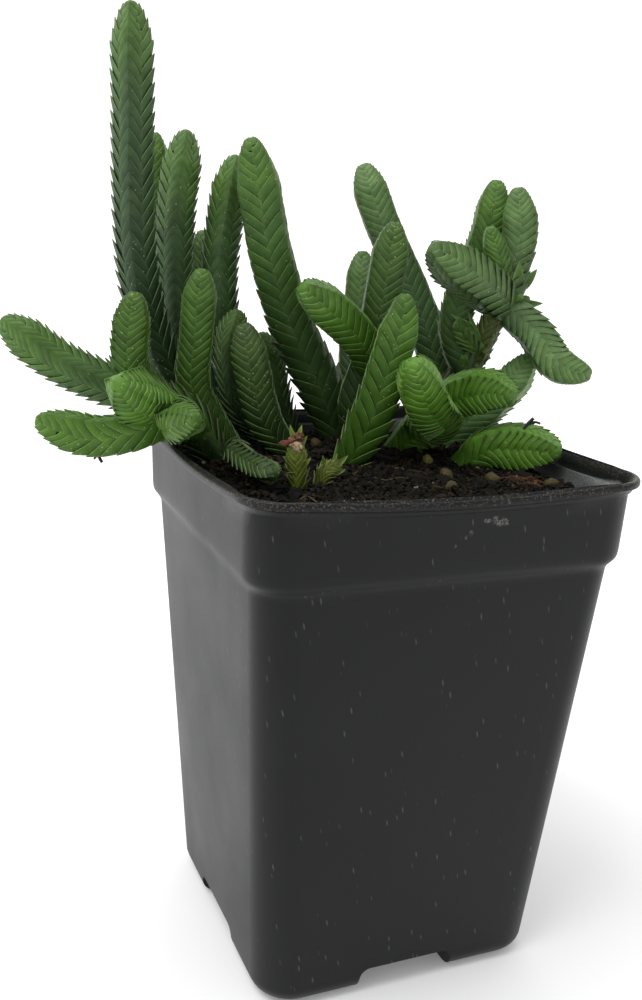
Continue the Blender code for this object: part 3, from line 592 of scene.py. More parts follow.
def start_material(name):
    """A new material with its shader tree, and the place on the object in metres."""
    material = bpy.data.materials.new(name)
    tree = Tree(material)
    return material, tree, tree.add("ShaderNodeTexCoord").outputs["Object"]


def finish_material(tree, surface, height=None, depth=0.0, **settings):
    """Ends a material in a Principled shader, with a bump from a height and its depth in metres."""
    shader = tree.add("ShaderNodeBsdfPrincipled", **settings)
    tree.join(shader, "Base Color", surface)
    if height is not None:
        bump = tree.add("ShaderNodeBump", Height=height, Strength=1.0, Distance=depth)
        tree.join(shader, "Normal", bump.outputs["Normal"])
    tree.add("ShaderNodeOutputMaterial", Surface=shader.outputs[0])


def leaf_material():
    """Waxy leaf skin: the colour of each leaf, a fine mottle and tiny pale pores."""
    material, tree, place = start_material("leaf")
    mottle = tree.noise(place, 420.0, 3.0, 0.6)
    patch = tree.noise(place, 90.0)
    dark = (0.45, 0.5, 0.42, 1.0)
    warm = (1.25, 1.1, 0.85, 1.0)
    darker = tree.mix(tree.ramp(mottle, 0.35, 0.7, 0.0, 0.55), tree.shade(), dark, "MULTIPLY")
    warmer = tree.mix(tree.ramp(patch, 0.5, 0.75, 0.0, 0.5), darker, warm, "MULTIPLY")
    pores = tree.ramp(tree.cells(place, 800.0), 0.10, 0.16, 1.0, 0.0)
    seen = tree.times(pores, tree.ramp(patch, 0.45, 0.6))
    spotted = tree.mix(tree.times(seen, 0.5), warmer, rgba(PORE))
    grain = tree.noise(place, 2600.0)
    rough = tree.ramp(mottle, 0.3, 0.7, 0.42, 0.56)
    finish_material(tree, spotted, grain, 0.00004, Roughness=rough, IOR=1.36)
    return material


def plastic_material():
    """Charcoal pot plastic with stretch marks, dust and painted light on its inside, and a mineral scuff in
    front.
    """
    material, tree, place = start_material("pot_plastic")
    cloud = tree.noise(place, 28.0, 4.0, 0.6)
    base = tree.mix(tree.ramp(cloud, 0.35, 0.7), *[rgba(colour) for colour in PLASTIC])
    leaning = tree.add("ShaderNodeMapping", Vector=place, Rotation=(0.0, STRETCH_TILT, 0.0)).outputs[0]
    stretched = tree.add("ShaderNodeMapping", Vector=leaning, Scale=STRETCH).outputs[0]
    streak = tree.ramp(tree.cells(stretched, 680.0), 0.06, 0.16, 1.0, 0.0)
    rare = tree.ramp(tree.noise(stretched, 300.0, 1.0), 0.43, 0.56)
    flecked = tree.mix(tree.times(tree.times(streak, rare), 0.17), base, rgba(STRETCH_MARK))
    grain = tree.noise(place, 1500.0, 3.0, 0.6)
    speck = tree.noise(place, 2400.0, 3.0, 0.7)
    split = tree.add("ShaderNodeSeparateXYZ", Vector=place)
    # Dust with painted light: a pale mottle over the inner wall.
    dust_and_light = tree.times(inner_side(tree, split), tree.ramp(speck, 0.35, 0.75, 0.35, 0.9))
    dusty_and_lit = tree.mix(dust_and_light, flecked, rgba(DUST_AND_PAINTED_LIGHT))
    crumbs = tree.times(tree.ramp(speck, 0.54, 0.66), height_mask(tree, split, LIP_CRUMB_Z))
    lip = tree.mix(tree.times(crumbs, 0.5), dusty_and_lit, rgba(LIP_CRUMB))
    broken = tree.times(scuff(tree, place), tree.ramp(speck, 0.46, 0.58, 0.12, 0.75))
    scuffed = tree.mix(broken, lip, rgba(MINERAL))
    rough = tree.ramp(cloud, 0.3, 0.7, 0.36, 0.46)
    finish_material(tree, scuffed, grain, 0.00003, Roughness=rough, Specular_IOR_Level=0.225)
    return material


def height_mask(tree, split, heights, least=0.0):
    """A mask that rises to 1 between two heights on the pot."""
    low, high = heights
    return tree.ramp(split.outputs["Z"], low * MM, high * MM, least, 1.0)


def inner_side(tree, split):
    """A mask of the pot's inner wall above the soil, inside the wall's own thickness and fainter towards
    the soil: where the dust and painted light go.
    """
    flat = (BAND_TOP_HALF - BAND_CORNER) * MM
    squares = []
    for side, middle in (("X", AXIS_X), ("Y", AXIS_Y)):
        away = tree.maths("ABSOLUTE", tree.maths("SUBTRACT", split.outputs[side], middle * MM))
        past = tree.maths("MAXIMUM", tree.maths("SUBTRACT", away, flat), 0.0)
        squares.append(tree.times(past, past))
    reach = tree.maths("SQRT", tree.maths("ADD", *squares))
    inside = tree.ramp(reach, *[(BAND_CORNER - inset) * MM for inset in DUST_AND_LIGHT_FROM_WALL])
    raised = tree.times(inside, height_mask(tree, split, DUST_AND_LIGHT_Z))
    return tree.times(raised, height_mask(tree, split, DUST_AND_LIGHT_FULL_Z, DUST_AND_LIGHT_LEAST))


def scuff(tree, place):
    """A mask of dried mineral water on the band in front: one blot, short streaks and a few spots."""
    rough_edge = tree.ramp(tree.noise(place, 900.0, 3.0, 0.7), 0.3, 0.7, -0.5, 0.6)
    total = 0.0
    for x, z, wide, tall, strength in SCUFFS:
        centre = ((AXIS_X + x) * MM, (AXIS_Y - BAND_TOP_HALF) * MM, z * MM)
        size = [1 / (half * MM) for half in (wide, SCUFF_DEPTH, tall)]
        away = tree.vector("LENGTH", tree.vector("MULTIPLY", tree.vector("SUBTRACT", place, centre), size))
        fuzzy = tree.maths("ADD", away, rough_edge)
        total = tree.maths("MAXIMUM", total, tree.ramp(fuzzy, 0.7, 1.05, strength, 0.0))
    return total


def soil_material():
    """Damp dark potting mix."""
    material, tree, place = start_material("soil_mix")
    coarse = tree.noise(place, 260.0, 5.0, 0.65)
    fine = tree.noise(place, 1400.0, 3.0, 0.7)
    base = tree.mix(tree.ramp(coarse, 0.35, 0.65), *[rgba(colour) for colour in SOIL_MIX])
    crumbs = tree.mix(tree.ramp(fine, 0.62, 0.75), base, rgba(SOIL_CRUMB))
    finish_material(tree, crumbs, fine, 0.0005, Roughness=0.9, Specular_IOR_Level=0.15)
    return material


def shaded_material(name, roughness, scale, depth, dark=0.5):
    """A rough natural material that takes its colour from the mesh and a mottle from noise."""
    material, tree, place = start_material(name)
    mottle = tree.noise(place, scale, 4.0, 0.6)
    worn = tree.mix(tree.ramp(mottle, 0.35, 0.65), tree.shade(), (dark, dark, dark, 1.0), "MULTIPLY")
    finish_material(tree, worn, mottle, depth, Roughness=roughness, Specular_IOR_Level=0.2)
    return material


def floor_material():
    """A pale floor, painted darker in front of the pot as painted shade and a little whiter behind it, with
    a faint glow as painted light that lifts the shadows on it.
    """
    material, tree, place = start_material("floor")
    share = tree.ramp(tree.vector("DOT_PRODUCT", place, FLOOR_BEHIND), -FLOOR_FADE, FLOOR_FADE)
    shade = tree.mix(share, *[(grey, grey, grey, 1.0) for grey in (FLOOR_FRONT, FLOOR_BACK)])
    finish_material(
        tree, shade, Roughness=0.9, Specular_IOR_Level=0.1, Emission_Color=WHITE,
        Emission_Strength=FLOOR_GLOW)
    return material


def mesh_object(name, points, faces, material, colours=None, sharp=None):
    """A mesh object from points in the pot's frame, in millimetres."""
    places = (np.asarray(points, dtype=float) + (AXIS_X, AXIS_Y, 0.0)) * MM
    mesh = bpy.data.meshes.new(name)
    mesh.from_pydata(places, [], faces)
    if colours is not None:
        layer = mesh.attributes.new("shade", "FLOAT_COLOR", "POINT")
        layer.data.foreach_set("color", np.asarray(colours, dtype=np.float32).ravel())
    mesh.update()
    if material:
        mesh.materials.append(material)
    if sharp is not None:
        mesh.shade_smooth()
        mesh.set_sharp_from_angle(angle=math.radians(sharp))
    item = bpy.data.objects.new(name, mesh)
    bpy.context.scene.collection.objects.link(item)
    return item


def ring_faces(rings, count):
    """Faces between closed rings of points that follow one another."""
    faces = []
    for ring in range(rings - 1):
        for k in range(count):
            a = ring * count + k
            b = ring * count + (k + 1) % count
            faces.append((a, b, b + count, a + count))
    return faces


def tube_faces(rings, count):
    """Faces between closed rings of points, with a face over the first and the last."""
    last = (rings - 1) * count
    return ring_faces(rings, count) + [tuple(reversed(range(count))), tuple(range(last, last + count))]


class Route:
    """A smooth curve through a stem's points, read by its length from the start."""

    def __init__(self, points):
        knots = np.array(points, dtype=float)
        spans = np.linalg.norm(np.diff(knots, axis=0), axis=1) ** 0.5
        times = np.concatenate([[0.0], np.cumsum(spans)])
        slopes = np.empty_like(knots)
        slopes[0] = (knots[1] - knots[0]) / spans[0]
        slopes[-1] = (knots[-1] - knots[-2]) / spans[-1]
        for k in range(1, len(knots) - 1):
            slopes[k] = (knots[k + 1] - knots[k - 1]) / (times[k + 1] - times[k - 1])
        samples = [knots[0]]
        for k, span in enumerate(spans):
            for step in range(1, ROUTE_STEPS + 1):
                t = step / ROUTE_STEPS
                samples.append(
                    (2 * t**3 - 3 * t**2 + 1) * knots[k]
                    + (t**3 - 2 * t**2 + t) * span * slopes[k]
                    + (3 * t**2 - 2 * t**3) * knots[k + 1]
                    + (t**3 - t**2) * span * slopes[k + 1])
        self.samples = np.array(samples)
        steps = np.linalg.norm(np.diff(self.samples, axis=0), axis=1)
        self.lengths = np.concatenate([[0.0], np.cumsum(steps)])
        self.length = float(self.lengths[-1])

    def at(self, s):
        """The places at lengths within the route."""
        return np.stack([np.interp(s, self.lengths, self.samples[:, k]) for k in range(3)], axis=-1)

    def frame(self, s, turn):
        """The middle and two directions across the stem at lengths along it."""
        s = np.asarray(s, dtype=float)
        inside = np.clip(s, 0.0, self.length)
        ahead = self.at(np.minimum(inside + HEADING_REACH, self.length))
        ahead = ahead - self.at(np.maximum(inside - HEADING_REACH, 0.0))
        heading = ahead / np.linalg.norm(ahead, axis=-1, keepdims=True)
        centre = self.at(inside) + heading * (s - inside)[..., None]
        front = FRONT - np.sum(FRONT * heading, axis=-1, keepdims=True) * heading
        front /= np.linalg.norm(front, axis=-1, keepdims=True)
        side = np.cross(heading, front)
        angle = math.radians(turn)
        first = front * math.cos(angle) + side * math.sin(angle)
        return centre, first, np.cross(heading, first)


def stem_half(shoot, s):
    """Half the stem's width across its leaves: slim at the foot and round at the tip."""
    foot = shoot.slim + (1 - shoot.slim) * np.clip(s / FOOT_TAPER, 0.0, 1.0)
    reach = (CONE_TIP + (ROUND_TIP - CONE_TIP) * shoot.round) * shoot.width
    tip = np.clip((shoot.length - s) / reach, BLUNT_TIP, 1.0) ** TIP_POWER
    return 0.5 * shoot.width * foot * tip


def roundness(pitch):
    """How rounded closely set leaves are, from 0 for wide spacing to 1 for close spacing."""
    return float(np.clip((STRAIGHT_SPACING - pitch) / ROUND_SPAN, 0.0, 1.0))


def leaf_faces():
    """The faces of one leaf: its outer face, lip, inner face and root, and its two sides."""
    count = len(ACROSS)
    rows = len(OUTER_ROWS) + 2 + len(INNER_ROWS)
    faces = []
    for row in range(rows):
        below = row * count
        above = ((row + 1) % rows) * count
        for column in range(count - 1):
            faces.append((below + column, below + column + 1, above + column + 1, above + column))
    faces.append(tuple(row * count for row in range(rows)))
    faces.append(tuple(row * count + count - 1 for row in reversed(range(rows))))
    return faces


class Group:
    """Collects the points, colours and faces of one piece, and makes its mesh."""

    def __init__(self):
        self.points = []
        self.colours = []
        self.faces = []
        self.count = 0

    def put(self, points, colours, faces):
        """Adds points with their colours, or one colour for all, and faces between them."""
        self.points.append(points.reshape(-1, 3))
        self.colours.append(np.broadcast_to(colours, points.shape).reshape(-1, 3))
        base = self.count
        self.faces.extend([tuple(base + k for k in face) for face in faces])
        self.count += len(self.points[-1])

    def tube(self, centre, first, second, radius, colour, sides):
        """A closed tube through a row of places, with a radius at each."""
        angle = np.arange(sides) * 2 * math.pi / sides
        ring = (first[:, None, :] * np.cos(angle)[None, :, None]
                + second[:, None, :] * np.sin(angle)[None, :, None])
        points = centre[:, None, :] + ring * np.asarray(radius)[:, None, None]
        self.put(points, colour, tube_faces(len(centre), sides))

    def make(self, name, material, sharp=LEAF_SHARP):
        """The mesh of everything collected, creased where faces meet at more than an angle."""
        colours = np.concatenate(self.colours)
        colours = np.concatenate([colours, np.ones((len(colours), 1))], axis=1)
        return mesh_object(name, np.concatenate(self.points), self.faces, material, colours, sharp)


class Leaves(Group):
    """The leaves and stems of one piece."""

    def __init__(self, seed):
        super().__init__()
        self.rng = random.Random(seed)
        self.template = leaf_faces()

    def leaf(self, shoot, s_tip, rank, pitch, young):
        """One keeled scale leaf, with its tip at a length along its shoot."""
        rng = self.rng
        half = 0.5 * shoot.width
        age = 1 - s_tip / shoot.length
        spread = OPEN_ALWAYS * young + shoot.openness * smooth(age, *OPEN_AGES) * rng.uniform(*OPEN_VARIES)
        drop = (DROP_LENGTH + DROP_SHARE * pitch) * rng.uniform(*DROP_VARIES)
        drop = min(drop, 0.3 + 0.9 * (shoot.length - s_tip))
        across = np.abs(ACROSS)
        straight = across**1.12
        curved = 1 - (1 - across) ** 1.6
        point = (POINT_LENGTH + POINT_OPEN * spread) * pitch
        bend = roundness(pitch)
        down = drop * (straight * (1 - bend) + curved * bend)
        down -= point * np.exp(-((across / POINT_WIDTH) ** 2))
        root = LEAF_LENGTH * pitch + 0.5 * (drop - down)
        outer = [root * share for share in OUTER_ROWS] + [np.full_like(root, LEAF_LIP), np.zeros_like(root)]
        inner = [root * share for share in INNER_ROWS]
        inside = np.array([0.0] * len(outer) + [1.0] * len(inner))[:, None]
        below = np.array(outer + inner)
        s = s_tip - down[None, :] - below
        theta = REACH * ACROSS[None, :]
        keel = np.sqrt((np.abs(theta) / QUARTER) ** 2 + KEEL_SOFT) - math.sqrt(KEEL_SOFT)
        section = shoot.swell * (1 - (1 - GROOVE) * keel**KEEL)
        lean = STEP_SHARE * pitch * (below / pitch) ** STEP_POWER
        bead = (BEAD + BEAD_ROUND * bend) * pitch * np.exp(-below / (BEAD_LENGTH * pitch))
        radius = stem_half(shoot, s) * section
        radius = radius - (lean + bead) * (0.4 + 0.6 * young)
        rise = np.clip(1 - (s_tip - s) / (OPEN_LENGTH * pitch), 0.0, 1.4)
        radius = radius + half * OPEN_OUT * spread * rise**2
        at_tip = np.clip(1 - (s_tip - s) / (TOOTH_LENGTH * pitch), 0.0, 1.2)
        tooth = TOOTH_WIDE + (TOOTH - TOOTH_WIDE) * bend
        narrow = np.exp(-((across / TOOTH_WIDTH) ** 2))
        radius = radius + tooth * (0.7 + 0.3 * young) * at_tip**1.6 * narrow
        thick = np.minimum(MOST_THICK, EDGE_THICK + THICK_GROWS * below) * (0.5 + 0.5 * young)
        radius = np.maximum(radius - inside * thick, LEAST_RADIUS)
        radius *= rng.uniform(*LEAF_SWELLS)
        turn = rank * math.pi / 2 + theta + math.radians(rng.uniform(-LEAF_ASKEW, LEAF_ASKEW))
        centre, first, second = shoot.route.frame(s, shoot.turn)
        points = centre + radius[..., None] * (
            first * np.cos(turn)[..., None] + second * np.sin(turn)[..., None])
        self.put(points, self.paint(shoot, s_tip, below, pitch, across, inside, spread), self.template)

    def paint(self, shoot, s_tip, below, pitch, across, inside, spread):
        """The colour of each point of a leaf: its age's green with its shoot's painted light and shade,
        painted shade towards its root under the leaf above, a pale or dry edge that is partly a painted
        highlight, a paler inside.
        """
        rng = self.rng
        from_tip = shoot.length - s_tip
        near, middle, far = [linear(colour) for colour in PALETTES[shoot.palette]]
        green = blend(near, middle, float(smooth(from_tip, 0.0, FADE_NEAR)))
        green = blend(green, far, float(smooth(from_tip, FADE_FAR_START, FADE_FAR)))
        # Painted light and shade: the shoot's green is made darker where it stands in shade and lighter
        # where it stands in light.
        green = green * shoot.depth(s_tip) * rng.uniform(*GREEN_VARIES)
        # Painted shade: each leaf is a little lighter near its edge and darker towards its root, where it
        # tucks under the leaf above.
        colour = green * (1.10 - 0.35 * smooth(below / pitch, 0.1, 1.1))[..., None]
        pale = linear(PALE_EDGE)
        dry = linear(DRY_EDGE)
        opened = max(0.0, spread - OPEN_ALWAYS)
        dryness = min(1.0, DRYNESS[shoot.palette] * opened * rng.uniform(*DRYNESS_VARIES))
        # The pale edge is partly the leaf's own pale margin and partly a painted highlight where the margin
        # catches the light; closely set leaves get less of it.
        pale_edge_and_highlight = 0.6 - 0.25 * roundness(pitch)
        rim = blend(pale * pale_edge_and_highlight + green * (1.2 - pale_edge_and_highlight), dry, dryness)
        edge = (1 - smooth(below, 0.0, LEAF_LIP))[..., None]
        colour = blend(colour, rim, 0.85 * edge)
        tip = (1 - smooth(across, 0.0, 0.35))[None, :, None] * (1 - smooth(below, 0.0, 1.1))[..., None]
        colour = blend(colour, dry, tip * dryness * 0.8)
        point = (1 - smooth(across, 0.05, 0.3))[None, :, None] * (1 - smooth(below, 0.1, 0.5))[..., None]
        colour = colour * (1 - 0.45 * point)
        return blend(colour, green * 0.7 + pale * 0.35, inside[..., None] * 0.45)

    def core(self, shoot, start):
        """The stem inside the leaves."""
        count = max(4, int((shoot.length - start) / CORE_STEP))
        stops = np.linspace(start, shoot.length - CORE_TIP, count)
        stops = np.concatenate([stops, shoot.length - CORE_TIP_STOPS])
        centre, first, second = shoot.route.frame(stops, shoot.turn)
        near_tip = 1 - smooth(shoot.length - stops, 0.0, 3.0)
        radius = (CORE + (CORE_AT_TIP - CORE) * near_tip) * stem_half(shoot, stops)
        tip, _, foot = [linear(colour) for colour in PALETTES[shoot.palette]]
        shade = blend(foot, tip, smooth(stops, shoot.length - 8.0, shoot.length)[:, None])
        # The stem inside takes its shoot's painted light and shade as well.
        shade = shade * shoot.depth(stops)[:, None]
        self.tube(centre, first, second, radius, shade[:, None, :], CORE_SIDES)

    def shoot(self, design, start):
        """A whole leafy shoot, from its foot or the stem it grows from up to its crown."""
        shoot = Shoot(design, FOOT_SLIMNESS if start == 0 else BRANCH_SLIMNESS)
        self.core(shoot, -ROOT_DEPTH if start == 0 else BRANCH_CORE_START)
        s = shoot.length - TOP_LEAF
        k = 0
        while s > start + LOWEST_LEAF:
            young = min(1.0, YOUNGEST + (1 - YOUNGEST) * (shoot.length - s) / CROWN)
            pitch = shoot.pitch(s) * young ** 0.8
            for rank in (k % 2, k % 2 + 2):
                uneven = self.rng.uniform(-LEAF_UNEVEN, LEAF_UNEVEN)
                self.leaf(shoot, s + uneven * pitch, rank, pitch, young)
            s -= 0.5 * pitch
            k += 1

    def blade(self, foot, tip, width, bend, palette):
        """One long thin leaf that stands free, hollowed towards the stem and bent along its length."""
        foot = np.array(foot, dtype=float)
        along = np.array(tip, dtype=float) - foot
        length = np.linalg.norm(along)
        heading = along / length
        side = np.cross(heading, FRONT)
        side /= np.linalg.norm(side)
        out = np.cross(side, heading)
        v = np.linspace(0.0, 1.0, BLADE_ROWS)[:, None]
        u = np.linspace(-1.0, 1.0, BLADE_COLUMNS)[None, :]
        half = 0.5 * width * np.sin(math.pi * (0.12 + 0.86 * v)) ** 0.8 * (1 - 0.35 * v)
        lift = bend * length * 0.35 * v * (1 - v) + 0.35 * half * u**2
        middle = foot + v[..., None] * along
        top = middle + (u * half)[..., None] * side + lift[..., None] * out
        thick = BLADE_THICK * (1 - 0.6 * v) * (1 - 0.7 * u**2) + BLADE_EDGE
        under = top - thick[..., None] * out
        near, middle_green, _ = [linear(colour) for colour in PALETTES[palette]]
        green = blend(middle_green, near * 1.15, v[..., None])
        green = blend(green, linear(PALE_EDGE), 0.5 * np.abs(u)[..., None] ** 4)
        points = np.concatenate([top, under[:, ::-1]], axis=1)
        colours = np.concatenate([green, green[:, ::-1] * 0.8], axis=1)
        self.put(points, colours, tube_faces(BLADE_ROWS, 2 * BLADE_COLUMNS))

    def twigs(self, name):
        """The dark threads of dry root that cling to a piece."""
        for points, radius in TWIGS.get(name, []):
            route = Route(points)
            stops = np.linspace(0.0, route.length, TWIG_STOPS)
            centre, first, second = route.frame(stops, 0.0)
            thickness = np.full(TWIG_STOPS, radius)
            self.tube(centre, first, second, thickness, linear(TWIG_BROWN), TWIG_SIDES)

    def flowers(self):
        """Dried flower heads: crumpled lumps on the side of the small sprout."""
        rng = random.Random(FLOWER_SEED)
        for place, colour in FLOWERS:
            for _ in range(FLOWER_LUMPS):
                size = FLOWER_SIZE * rng.uniform(*FLOWER_SCALES)
                points, faces = lump(rng, size, flatness=0.8, roughness=0.9, detail=2)
                points = points + np.array(place)
                points = points + [rng.uniform(-FLOWER_SPREAD, FLOWER_SPREAD) for _ in range(3)]
                self.put(points, linear(colour) * rng.uniform(*FLOWER_SHADES), faces)

    def trunk(self):
        """The bare woody stem with its rings of old leaf scars, its shoots and its buds."""
        for design in TRUNK_SHOOTS:
            self.shoot(design, BRANCH_START)
        route = Route(TRUNK_ROUTE)
        stops = np.linspace(-ROOT_DEPTH, route.length, TRUNK_RINGS)
        centre, first, second = route.frame(stops, 0.0)
        ridges = 1 + 0.16 * np.abs(np.sin(stops * 1.1)) + 0.05 * np.sin(stops * 3.7)
        radius = (TRUNK_RADIUS - TRUNK_SKIN) * ridges
        self.tube(centre, first, second, radius, linear(BARE_STEM), TRUNK_SIDES)
        self.shoot((WITHERED_WIDTH, 20, 0.9, "old", (2.2, 2.6), (1.0, 1.0), TRUNK_ROUTE), 0.0)
        for width, palette, foot, tip in BUDS:
            middle = tuple((a + b) / 2 for a, b in zip(foot, tip))
            self.shoot((width, 30, 0.4, palette, (0.8, 1.1), (1.0, 1.0), [foot, middle, tip]), BUD_START)


class Shoot:
    """One shoot's design, with its route worked out."""

    def __init__(self, design, slim):
        self.width, self.turn, self.openness, self.palette, self.spacing, self.depths, points = design
        self.slim = slim
        self.route = Route(points)
        self.length = self.route.length
        self.round = roundness(self.spacing[0])
        self.swell = 1 + SQUARE_SWELL * float(smooth(self.turn % 90, *SQUARE_TURNS))

    def pitch(self, s):
        """The spacing of the leaves of one rank, which grows from the crown down."""
        near, far = self.spacing
        return near + (far - near) * (1 - s / self.length)

    def depth(self, s):
        """The painted light and shade at a length along the shoot: a share of its palette's green, below 1
        where the shoot stands in shade and above 1 where it stands in light.
        """
        tip, foot = self.depths
        return foot + (tip - foot) * np.clip(s / self.length, 0.0, 1.0)


def leafy_piece(name, seed, designs, material):
    """One leafy piece, with its single leaves and whatever clings to it."""
    leaves = Leaves(seed)
    if name == "spray_trunk":
        leaves.trunk()
    for k, design in enumerate(designs):
        leaves.shoot(design, BRANCH_START if k else 0.0)
    for blade in BLADES.get(name, []):
        leaves.blade(*blade)
    leaves.twigs(name)
    if name == "sprout_flowered":
        leaves.flowers()
    return leaves.make(name + "_leaves", material)


def make_stems(material):
    """Every stem and spray, each as the piece that stands for its solid."""
    pieces = {}
    for seed, (name, design) in enumerate(STEMS.items()):
        pieces[name] = leafy_piece(name, seed, [design], material)
    for seed, (name, designs) in enumerate(SPRAYS.items(), SPRAY_SEED):
        pieces[name] = leafy_piece(name, seed, designs, material)
    pieces["spray_trunk"] = leafy_piece("spray_trunk", TRUNK_SEED, [], material)
    for name, piece in pieces.items():
        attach(piece, "root")
        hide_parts(name)


def rounded_square(half, corner, bow=0.0, sag=0.0):
    """Points round a square with arcs for corners, its sides bowed out and sagging in the middle."""
    points = []
    flat = half - corner
    for quarter in range(4):
        turn = quarter * math.pi / 2
        for step in range(CORNER_STEPS):
            angle = turn - math.pi / 2 * (1 - step / CORNER_STEPS)
            spin = turn - math.pi / 4
            centre_x = flat * math.sqrt(2) * math.cos(spin)
            centre_y = flat * math.sqrt(2) * math.sin(spin)
            points.append((centre_x + corner * math.cos(angle), centre_y + corner * math.sin(angle), 0.0))
        for step in range(SIDE_STEPS):
            along = flat * (2 * step / SIDE_STEPS - 1)
            swell = 1 - (along / flat) ** 2
            out = half + bow * swell
            x = out * math.cos(turn) - along * math.sin(turn)
            y = out * math.sin(turn) + along * math.cos(turn)
            points.append((x, y, -sag * swell))
    return points


def loft(levels, name, material=None):
    """A closed solid through rounded squares, each given as half width, corner, height, bow and sag."""
    points = []
    for half, corner, height, bow, sag in levels:
        points += [(x, y, z + height) for x, y, z in rounded_square(half, corner, bow, sag)]
    return mesh_object(name, points, tube_faces(len(levels), len(points) // len(levels)), material)


def foot_levels(half, corner, radius, floor_z):
    """Levels of a rounded bottom edge."""
    levels = []
    for step in range(FOOT_STEPS + 1):
        angle = math.pi / 2 * step / FOOT_STEPS
        inset = radius * (1 - math.sin(angle))
        rise = radius * (1 - math.cos(angle))
        levels.append((half - inset, corner - inset * FOOT_CORNER_SHRINK, floor_z + rise, 0.0, 0.0))
    return levels


def body_half(z):
    """The outer half width of the tapered body at a height."""
    return FOOT_HALF + (BODY_TOP_HALF - FOOT_HALF) * z / BODY_TOP_Z


def body_corner(z):
    """The outer corner radius of the tapered body at a height."""
    return FOOT_CORNER + (BODY_CORNER - FOOT_CORNER) * z / BODY_TOP_Z


def band_half(z):
    """The outer half width of the band under the lip at a height."""
    share = (z - BAND_FOOT_Z) / (POT_HEIGHT - LIP_DEPTH - BAND_FOOT_Z)
    return BAND_FOOT_HALF + (BAND_TOP_HALF - BAND_FOOT_HALF) * share


def lip_levels(inset, profile):
    """Levels of the lip from its foot up one side of it."""
    foot_z = POT_HEIGHT - LIP_DEPTH
    levels = [(BAND_TOP_HALF - inset, LIP_FOOT_CORNER - inset, foot_z, LIP_FOOT_BOW, BAND_SAG)]
    for out, rise in profile:
        levels.append((RIM_HALF + out, RIM_CORNER + out, POT_HEIGHT + rise, RIM_BOW, RIM_SAG))
    return levels


def outer_levels():
    """The outside of the pot from its feet to the top of its lip."""
    levels = foot_levels(body_half(FOOT_EDGE_RADIUS), FOOT_CORNER, FOOT_EDGE_RADIUS, 0.0)
    for z in BODY_LEVELS:
        levels.append((body_half(z), body_corner(z), z, 0.0, 0.0))
    for share, rise in SHOULDER:
        half = body_half(BODY_TOP_Z) + (BAND_FOOT_HALF - body_half(BODY_TOP_Z)) * share
        z = BODY_TOP_Z + (SHOULDER_TOP_Z - BODY_TOP_Z) * rise
        levels.append((half, BODY_CORNER + (BAND_CORNER - BODY_CORNER) * share, z, 0.0, 0.0))
    for z in BAND_LEVELS:
        rise = (z - BAND_FOOT_Z) / (POT_HEIGHT - BAND_FOOT_Z)
        levels.append((band_half(z), BAND_CORNER, z, BAND_BOW * rise, BAND_SAG * rise))
    return levels + lip_levels(0.0, LIP_OUTSIDE)


def inner_levels():
    """The inside of the pot from its floor up, and on past its rim."""
    foot_radius = FOOT_EDGE_RADIUS - WALL
    levels = foot_levels(body_half(FOOT_EDGE_RADIUS) - WALL, FOOT_CORNER - WALL, foot_radius, WALL)
    z = INNER_BODY_TOP_Z
    levels.append((body_half(z) - WALL, body_corner(z) - WALL, z, 0.0, 0.0))
    levels.append((BAND_FOOT_HALF - WALL, BAND_CORNER - WALL, INNER_BAND_FOOT_Z, 0.0, 0.0))
    levels += lip_levels(WALL, LIP_INSIDE)
    last = LIP_INSIDE[-1][0]
    return levels + [(RIM_HALF + last, RIM_CORNER + last, POT_HEIGHT + HOLLOW_PAST, RIM_BOW, RIM_SAG)]


def channel(name, grow, along_x):
    """A flat-topped arch that runs right across under the pot, to leave four feet."""
    reach = RIM_HALF + CUT_PAST
    half = CHANNEL_HALF + grow
    top = CHANNEL_HEIGHT + grow
    outline = [(-half - CHANNEL_FLARE, -CUT_PAST), (half + CHANNEL_FLARE, -CUT_PAST)]
    for side in (1, -1):
        for step in range(CHANNEL_STEPS + 1):
            angle = math.pi / 2 * (step if side > 0 else CHANNEL_STEPS - step) / CHANNEL_STEPS
            across = half - CHANNEL_ROUND + CHANNEL_ROUND * math.cos(angle)
            outline.append((side * across, top - CHANNEL_ROUND + CHANNEL_ROUND * math.sin(angle)))
    points = []
    for end in (-reach, reach):
        for across, z in outline:
            points.append((end, -across, z) if along_x else (across, end, z))
    count = len(outline)
    faces = [tuple(range(count)), tuple(reversed(range(count, 2 * count)))]
    for k in range(count):
        nearby = (k + 1) % count
        faces.append((k, k + count, nearby + count, nearby))
    return mesh_object(name, points, faces, None)


def drain(k):
    """A drain hole through the raised floor."""
    angle = k * math.pi / 2
    x = AXIS_X + DRAIN_FROM_AXIS * math.cos(angle)
    y = AXIS_Y + DRAIN_FROM_AXIS * math.sin(angle)
    bpy.ops.mesh.primitive_cylinder_add(
        vertices=DRAIN_SIDES, radius=DRAIN_RADIUS * MM, depth=DRAIN_CUT * MM,
        location=(x * MM, y * MM, CHANNEL_HEIGHT * MM))
    item = bpy.context.active_object
    item.name = f"drain_{k}"
    return item


def cut(item, cutters):
    """Takes each of the cutters out of an object, and removes them."""
    for cutter in cutters:
        modifier = item.modifiers.new("cut", "BOOLEAN")
        modifier.operation = "DIFFERENCE"
        modifier.solver = "EXACT"
        modifier.object = cutter
        graph = bpy.context.evaluated_depsgraph_get()
        graph.update()
        baked = bpy.data.meshes.new_from_object(item.evaluated_get(graph))
        item.modifiers.clear()
        item.data = baked
        bpy.data.objects.remove(cutter, do_unlink=True)


